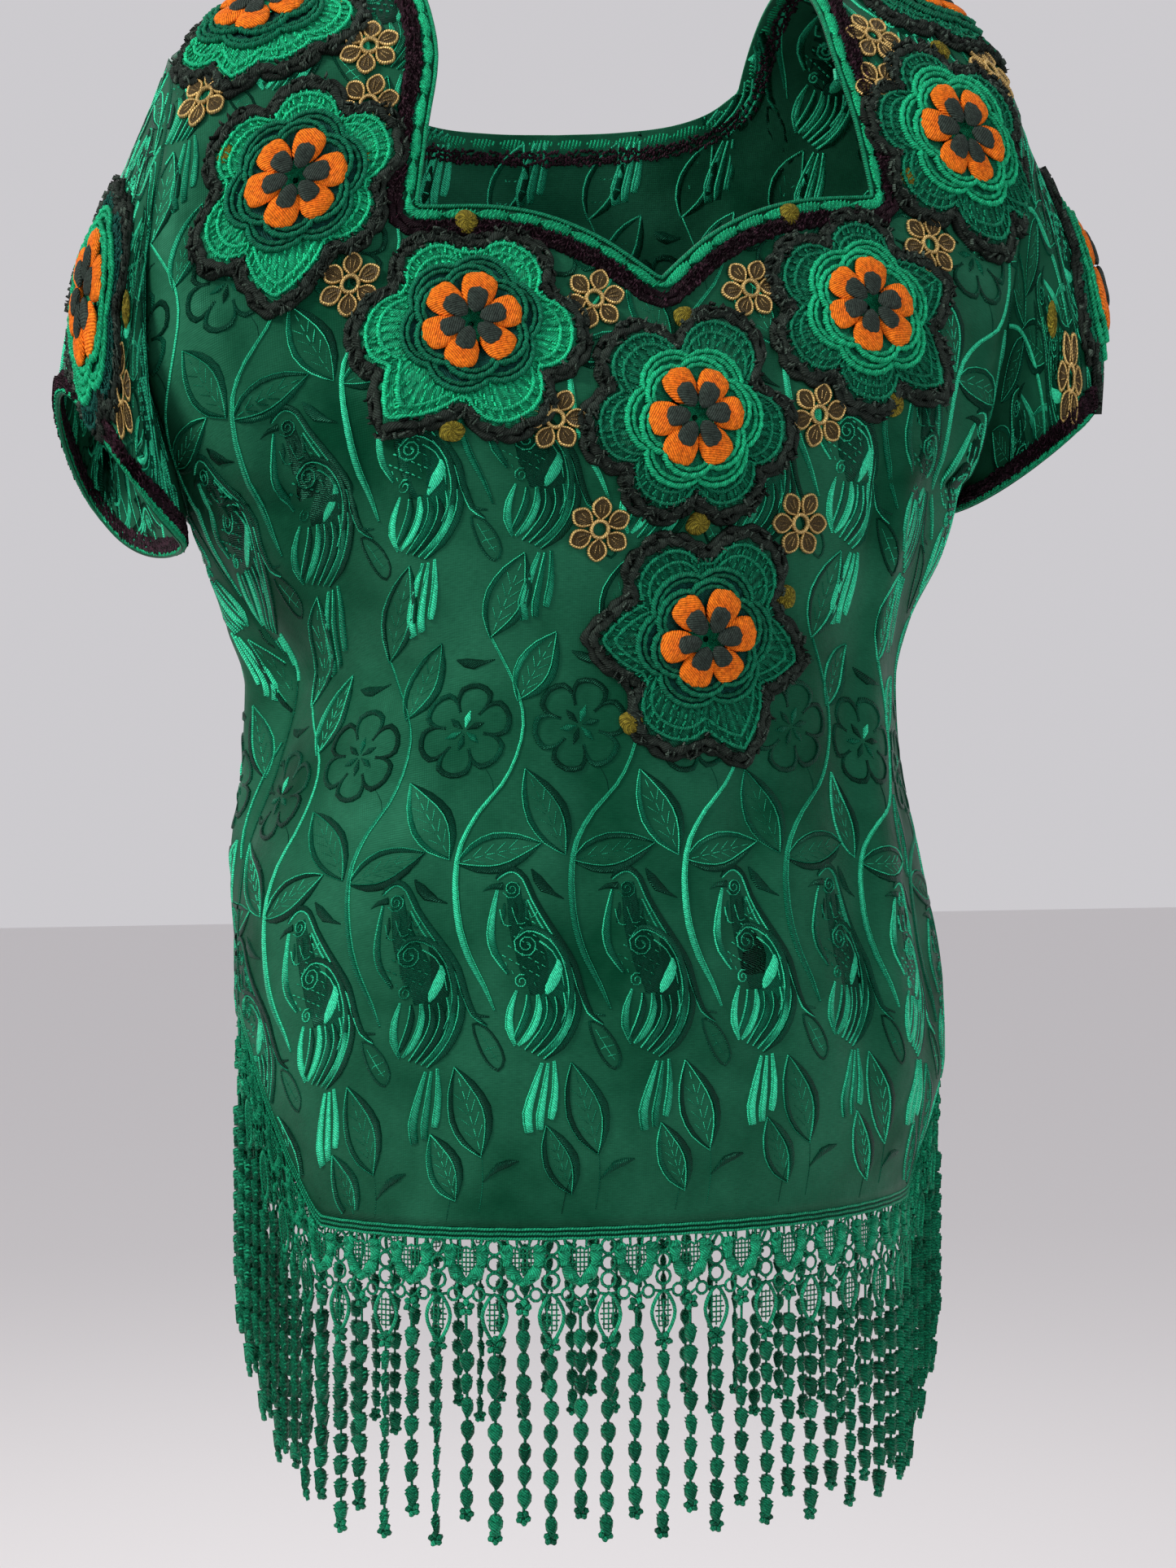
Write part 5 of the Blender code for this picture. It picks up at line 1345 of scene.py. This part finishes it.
def panel_normals(side, grid):
    """Unit normals at a panel's grid points, square to the side plane at the seams and level at the hem."""
    across, drop, _ = grid
    step = 1e-4
    du = cloth(np.clip(across + step, -1, 1), drop, side) - cloth(np.clip(across - step, -1, 1), drop, side)
    dv = cloth(across, drop + step, side) - cloth(across, np.maximum(drop - step, 0), side)
    normals = unit(np.cross(du, dv)) * side
    normals[[0, -1], :, 1] = 0
    normals[:, 0, 1] = 0
    normals[:, -1, 2] = 0
    return unit(normals)


def shell(name, outer, inner, stitch, cells, material, node, wrap=False):
    """A thin closed sheet between two grids of points. cells marks the cells of the grid that are cloth."""
    nu, nv = outer.shape[:2]
    i, j = np.nonzero(cells)
    corners = [((i + a) % nu) * nv + j + b for a, b in ((0, 0), (1, 0), (1, 1), (0, 1))]
    half = nu * nv
    a, b, c, d = corners
    faces = [np.stack([a, b, c, d], axis=1), np.stack([a, d, c, b], axis=1) + half]
    for di, dj, p, q in ((-1, 0, a, d), (1, 0, c, b), (0, -1, b, a), (0, 1, d, c)):
        near_i, near_j = i + di, j + dj
        if wrap:
            near_i = near_i % cells.shape[0]
        on = (near_i >= 0) & (near_i < cells.shape[0]) & (near_j >= 0) & (near_j < cells.shape[1])
        kept = np.zeros(len(i), bool)
        kept[on] = cells[near_i[on], near_j[on]]
        faces.append(np.stack([p, q, q + half, p + half], axis=1)[~kept])
    pile = Pile()
    points = np.concatenate([outer.reshape(-1, 3), inner.reshape(-1, 3)])
    pile.add(points, faces, np.array(SILK), np.concatenate([stitch.reshape(-1, 2)] * 2))
    return pile.make(name, "silk", material, [node])


def panel_cloth(name, flat, grid, material):
    across, drop, cells = grid
    outer = cloth(across, drop, flat.side)
    inner = outer - panel_normals(flat.side, grid) * CLOTH_THICK
    stitch = np.stack([flat.u_at(across, drop), drop], axis=-1)
    return shell(f"cloth_{name}", outer, inner, stitch, cells, material, name)


def sleeve_cloth(flat, material):
    angle = np.linspace(0, 2 * math.pi, SLEEVE_AROUND, endpoint=False)[:, None]
    share = np.linspace(0, 1, SLEEVE_DOWN + 1)[None, :]
    outer = flat.at(angle, share)
    padded = np.concatenate([outer[-1:], outer, outer[:1]])
    normals = unit(np.cross(padded[2:] - padded[:-2], np.gradient(outer, axis=1)))
    centre = outer.reshape(-1, 3).mean(0)
    if ((outer - centre) * normals).sum() < 0:
        normals = -normals
    u = np.broadcast_to(angle * 0.08, outer.shape[:2])
    v = np.broadcast_to(share * 0.18, outer.shape[:2])
    cells = np.ones((SLEEVE_AROUND, SLEEVE_DOWN), bool)
    name = f"sleeve_{flat.sleeve.name}"
    inner = outer - normals * CLOTH_THICK
    return shell(f"cloth_{name}", outer, inner, np.stack([u, v], axis=-1), cells, material, name, wrap=True)


def seam(pile, points, width, outward, tone):
    """A thin piping along a row of points, as a closed tube of six sides."""
    run = unit(np.gradient(points, axis=0))
    side = unit(np.cross(run, outward))
    up = np.cross(side, run)
    angle = around(6)
    circle = np.cos(angle)[None, :, None] * side[:, None, :] + np.sin(angle)[None, :, None] * up[:, None, :]
    spots = points[:, None, :] + circle * width / 2
    n, k = len(points), np.arange(6)
    row = np.arange(n - 1)[:, None] * 6
    quads = np.stack([row + k, row + (k + 1) % 6, row + 6 + (k + 1) % 6, row + 6 + k], axis=-1).reshape(-1, 4)
    caps = [np.array([[0, 1, 2, 3], [0, 3, 4, 5]]), np.array([[0, 1, 2, 3], [0, 3, 4, 5]]) + (n - 1) * 6]
    stitch = np.stack([np.repeat(lengths_along(points), 6), np.tile(np.cos(angle) * width / 2, n)], axis=1)
    pile.add(spots.reshape(-1, 3), [quads, *caps], lerp(SATIN_DARK, SATIN_MID, np.full(n * 6, tone)), stitch)


class Nodes:
    """Short ways to add and join shader nodes."""

    def __init__(self, name):
        self.material = bpy.data.materials.new(name)
        self.material.use_nodes = True
        self.tree = self.material.node_tree
        self.shader = self.tree.nodes["Principled BSDF"]

    def add(self, kind, inputs=(), **settings):
        node = self.tree.nodes.new(kind)
        for key, value in settings.items():
            setattr(node, key, value)
        for key, value in dict(inputs).items():
            self.feed(node, key, value)
        return node

    def feed(self, node, key, value):
        if isinstance(value, bpy.types.NodeSocket):
            self.tree.links.new(value, node.inputs[key])
        else:
            node.inputs[key].default_value = value

    def attribute(self, name):
        return self.add("ShaderNodeAttribute", attribute_name=name)

    def noise(self, vector, scale, detail=2.0, rough=0.5):
        inputs = {"Vector": vector, "Scale": scale, "Detail": detail, "Roughness": rough}
        return self.add("ShaderNodeTexNoise", inputs).outputs["Fac"]

    def remap(self, value, low, high):
        """Takes 0.3 to 0.7 of a noise to low to high."""
        inputs = {"Value": value, "From Min": 0.3, "From Max": 0.7, "To Min": low, "To Max": high}
        return self.add("ShaderNodeMapRange", inputs).outputs["Result"]

    def times(self, colour, factor):
        node = self.add("ShaderNodeVectorMath", {0: colour}, operation="SCALE")
        self.feed(node, "Scale", factor)
        return node.outputs["Vector"]

    def wave(self, vector, scale, direction, distortion=0.0):
        return self.add("ShaderNodeTexWave", {"Vector": vector, "Scale": scale, "Distortion": distortion},
                        wave_type="BANDS", bands_direction=direction).outputs["Fac"]

    def bump(self, height_value, strength, distance):
        inputs = {"Height": height_value, "Strength": strength, "Distance": distance}
        self.feed(self.shader, "Normal", self.add("ShaderNodeBump", inputs).outputs["Normal"])

    def combine(self, operation, first, second):
        return self.add("ShaderNodeMath", {0: first, 1: second}, operation=operation).outputs["Value"]

    def mix(self, factor, low, high):
        node = self.add("ShaderNodeMix", {0: factor, 6: low, 7: high}, data_type="RGBA")
        return node.outputs[2]


def silk_material():
    """Thin cloudy green silk: a fine slub weave, small creases and a soft sheen."""
    m = Nodes("silk_cloth")
    where = m.add("ShaderNodeTexCoord").outputs["Object"]
    flat = m.attribute("stitch").outputs["Vector"]
    cloud = m.remap(m.noise(where, 14.0, 4.0, 0.55), 0.0, 1.0)
    colour = m.mix(cloud, (0.0012, 0.031, 0.013, 1), (0.0165, 0.112, 0.060, 1))
    stretch = m.add("ShaderNodeVectorMath", {0: flat, 1: (1.0, 9.0, 1.0)}, operation="MULTIPLY")
    slub = m.remap(m.noise(stretch.outputs["Vector"], WEAVE_SCALE, 3.0, 0.6), 0.74, 1.20)
    m.feed(m.shader, "Base Color", m.times(colour, slub))
    m.feed(m.shader, "Roughness", m.remap(m.noise(flat, 60.0), 0.42, 0.58))
    m.feed(m.shader, "Specular IOR Level", 0.22)
    m.feed(m.shader, "Specular Tint", (0.10, 1.0, 0.55, 1))
    weave = m.combine("ADD", m.wave(flat, WEAVE_SCALE, "X"), m.wave(flat, WEAVE_SCALE, "Y"))
    creased = m.noise(where, 45.0, 3.0, 0.6)
    m.bump(m.combine("ADD", m.combine("MULTIPLY", weave, 0.04), creased), 0.6, 0.0016)
    return m.material


def thread_material(name, rough, shine, pitch, contrast, grain, metal=0.0, deep=0.0009, gleam=(1, 1, 1, 1)):
    """Thread that takes its colour from the piece's tint: turns of yarn across its run, and a fine grain."""
    m = Nodes(name)
    tint = m.attribute("tint").outputs["Color"]
    flat = m.attribute("stitch").outputs["Vector"]
    where = m.add("ShaderNodeTexCoord").outputs["Object"]
    speck = m.remap(m.noise(where, grain, 2.0, 0.6), 0.60, 1.42)
    m.feed(m.shader, "Roughness", rough)
    m.feed(m.shader, "Specular IOR Level", shine)
    m.feed(m.shader, "Specular Tint", gleam)
    m.feed(m.shader, "Metallic", metal)
    turned = m.add("ShaderNodeVectorRotate", {"Vector": flat, "Angle": 0.6}, rotation_type="Z_AXIS")
    turns = m.wave(turned.outputs["Vector"], pitch, "X", 1.2)
    bands = m.add("ShaderNodeMapRange", {"Value": turns, "To Min": 1 - contrast, "To Max": 1 + contrast})
    m.feed(m.shader, "Base Color", m.times(m.times(tint, speck), bands.outputs["Result"]))
    m.bump(m.combine("ADD", turns, m.noise(where, grain * 1.7, 2.0, 0.6)), 0.7, deep)
    return m.material


def soft_light(name, place, aim, size, power, tone=(1.0, 1.0, 1.0)):
    lamp = bpy.data.lights.new(name, "AREA")
    lamp.shape = "DISK"
    lamp.size = size
    lamp.energy = power
    lamp.color = tone
    piece = bpy.data.objects.new(name, lamp)
    piece.location = place
    way = mathutils.Vector(aim) - mathutils.Vector(place)
    piece.rotation_euler = way.to_track_quat("-Z", "Y").to_euler()
    bpy.context.scene.collection.objects.link(piece)


# The photo's view: the camera's turn about the blouse, its distance and height, a shift that centres the
# blouse, and the focal length as a share of the picture's longer side
CAMERA_TURN_DEG = -18
CAMERA_AWAY, CAMERA_Z = 1.35, -0.44
CAMERA_SHIFT = 12.5 * 0.45 * MM
FOCAL_SHARE = 3000 / 1927
SENSOR_MM = 36
FLOOR_HALF, FLOOR_Z = 14.0, -1.32


def stage_and_camera():
    """A plain pale floor and surround, soft studio light, and a camera at the photo's angle."""
    mesh = bpy.data.meshes.new("floor")
    corners = [(x * FLOOR_HALF, y * FLOOR_HALF, FLOOR_Z) for x, y in ((-1, -1), (1, -1), (1, 1), (-1, 1))]
    mesh.from_pydata(corners, [], [(0, 1, 2, 3)])
    floor = bpy.data.objects.new("floor", mesh)
    pale = Nodes("pale_floor")
    pale.feed(pale.shader, "Base Color", (0.80, 0.78, 0.78, 1))
    pale.feed(pale.shader, "Roughness", 0.9)
    mesh.materials.append(pale.material)
    bpy.context.scene.collection.objects.link(floor)
    world = bpy.data.worlds.new("surround")
    world.use_nodes = True
    back = world.node_tree.nodes["Background"]
    back.inputs["Color"].default_value = (0.98, 0.96, 1.0, 1)
    back.inputs["Strength"].default_value = 0.62
    bpy.context.scene.world = world
    bpy.context.scene.view_settings.view_transform = "Standard"
    turn = math.radians(CAMERA_TURN_DEG)
    right = np.array([math.cos(turn), math.sin(turn), 0])
    behind = np.array([math.sin(turn), -math.cos(turn), 0])
    at = behind * CAMERA_AWAY + np.array([0, 0, CAMERA_Z]) - right * CAMERA_SHIFT
    data = bpy.data.cameras.new("camera")
    data.sensor_width = SENSOR_MM
    data.lens = FOCAL_SHARE * SENSOR_MM
    camera = bpy.data.objects.new("camera", data)
    camera.location = at
    camera.rotation_euler = (math.pi / 2, 0, turn)
    bpy.context.scene.collection.objects.link(camera)
    bpy.context.scene.camera = camera
    aim = (0.0, 0.0, -0.38)
    soft_light("key", tuple(behind * 1.2 - right * 1.5 + [0, 0, 0.9]), aim, 0.55, 40, (1.0, 0.97, 0.93))
    soft_light("fill", tuple(behind * 1.6 + right * 1.5 + [0, 0, 0.1]), aim, 1.2, 7, (0.94, 0.97, 1.0))
    soft_light("back_light", (0.3, 1.6, 0.9), aim, 1.2, 14)


silk = silk_material()
satin = thread_material("satin_thread", 0.34, 0.42, 330.0, 0.45, 900.0, gleam=GREEN_GLEAM)
crochet = thread_material("crochet_yarn", 0.62, 0.12, 290.0, 0.30, 620.0, deep=0.0014)
gold_thread = thread_material("gold_thread", 0.45, 0.35, 300.0, 0.30, 900.0, metal=0.35)
lace_thread = thread_material("lace_thread", 0.42, 0.42, 260.0, 0.40, 700.0, gleam=GREEN_GLEAM)

flats = {"front": PanelFlat(-1), "back": PanelFlat(1)}
for sleeve in SLEEVES:
    flats[f"sleeve_{sleeve.name}"] = SleeveFlat(sleeve)
grids = {
    "front": panel_grid(-1, SWEETHEART, CENTRE_CELLS, STRAP_CELLS, YOKE_OUTER_Z),
    "back": panel_grid(1, BACK_NECK, CENTRE_CELLS, STRAP_CELLS, BACK_YOKE_OUTER_Z),
}
cloths = {name: panel_cloth(name, flats[name], grids[name], silk) for name in grids}
on_it = {name: [] for name in flats}
motifs = repeat()
for number, name in enumerate(grids):
    pile = Pile()
    embroider(pile, flats[name], PANEL_REACH, BIRD_ROWS, 100 * number)
    on_it[name].append(pile.make(f"embroidery_{name}", "silk", satin))
    line = neck_line(flats[name], grids[name], STRAP_CELLS, CENTRE_CELLS)
    on_it[name].append(edging(f"neck_band_{name}", flats[name], line, f"neck_edging_{name}", crochet, True,
                              (5.4, 7.4, 12.6, 8.2), 20 + number))
    on_it[name] += lace_and_fringe(name, lace_thread)
for sleeve in SLEEVES:
    name = f"sleeve_{sleeve.name}"
    flat = flats[name]
    cloths[name] = sleeve_cloth(flat, silk)
    pile = Pile()
    for row, v in enumerate((0.07, 0.19)):
        for column in range(-4, 5):
            place = (column * SLEEVE_PITCH + 0.02 * row, v)
            seed = row * 9 + column + 300
            # The sleeves' embroidery gets a strong painted sheen
            lay(pile, flat, motifs, place, -SET_IN, seed=seed, scale=SLEEVE_SCALE, sheen_paint=0.8)
    on_it[name].append(pile.make(f"embroidery_{name}", "silk", satin))
    us = np.linspace(flat.arc[0], flat.arc[-1], 90)[::-1]
    line = np.stack([us, -flat.length_at(us)], axis=1) / MM
    if beside(line, 5.0)[20, 1] < line[20, 1]:
        line = line[::-1]
    on_it[name].append(edging(f"cuff_band_{name}", flat, line, f"sleeve_edging_{sleeve.name}", crochet, False,
                              (2.0, 2.6, 6.2, 6.4), 30 + sleeve.side))
for flower in FLOWERS:
    flat = flats[flower.on]
    centre = place_of(flats, flower.on, flower.across, flower.drop)
    on_it[flower.on] += crochet_flower(flower, flat, centre, crochet)
for blossom in BLOSSOMS:
    flat = flats[blossom.on]
    centre = place_of(flats, blossom.on, blossom.across, blossom.drop)
    on_it[blossom.on].append(gold_flower(blossom, flat, centre, gold_thread))
on_it["front"].append(dots(flats, crochet))

pile = Pile()
side_drop = np.linspace(drop_at(1.0, UNDERARM_Z), drop_at(1.0, hem_z(1.0)), 60)
for way in (-1, 1):
    line = cloth(float(way), side_drop, -1) * [1, 0, 1]
    seam(pile, line, 0.0014, np.array([way, 0.0, 0.0]), 0.6)
    xs = np.linspace(0.110 / SHOULDER_HALF, 0.995, 16) * way
    line = cloth(xs, np.zeros(16), -1) * [1, 0, 1]
    seam(pile, line, 0.0014, np.array([0.0, 0.0, 1.0]), 0.4)
    loop = armhole_loop(way)
    seam(pile, np.concatenate([loop, loop[:1]]), 0.0016, np.array([way, 0.0, 0.0]), 0.5)
on_it["front"].append(pile.make("seam_piping", "silk", satin))

stage_and_camera()
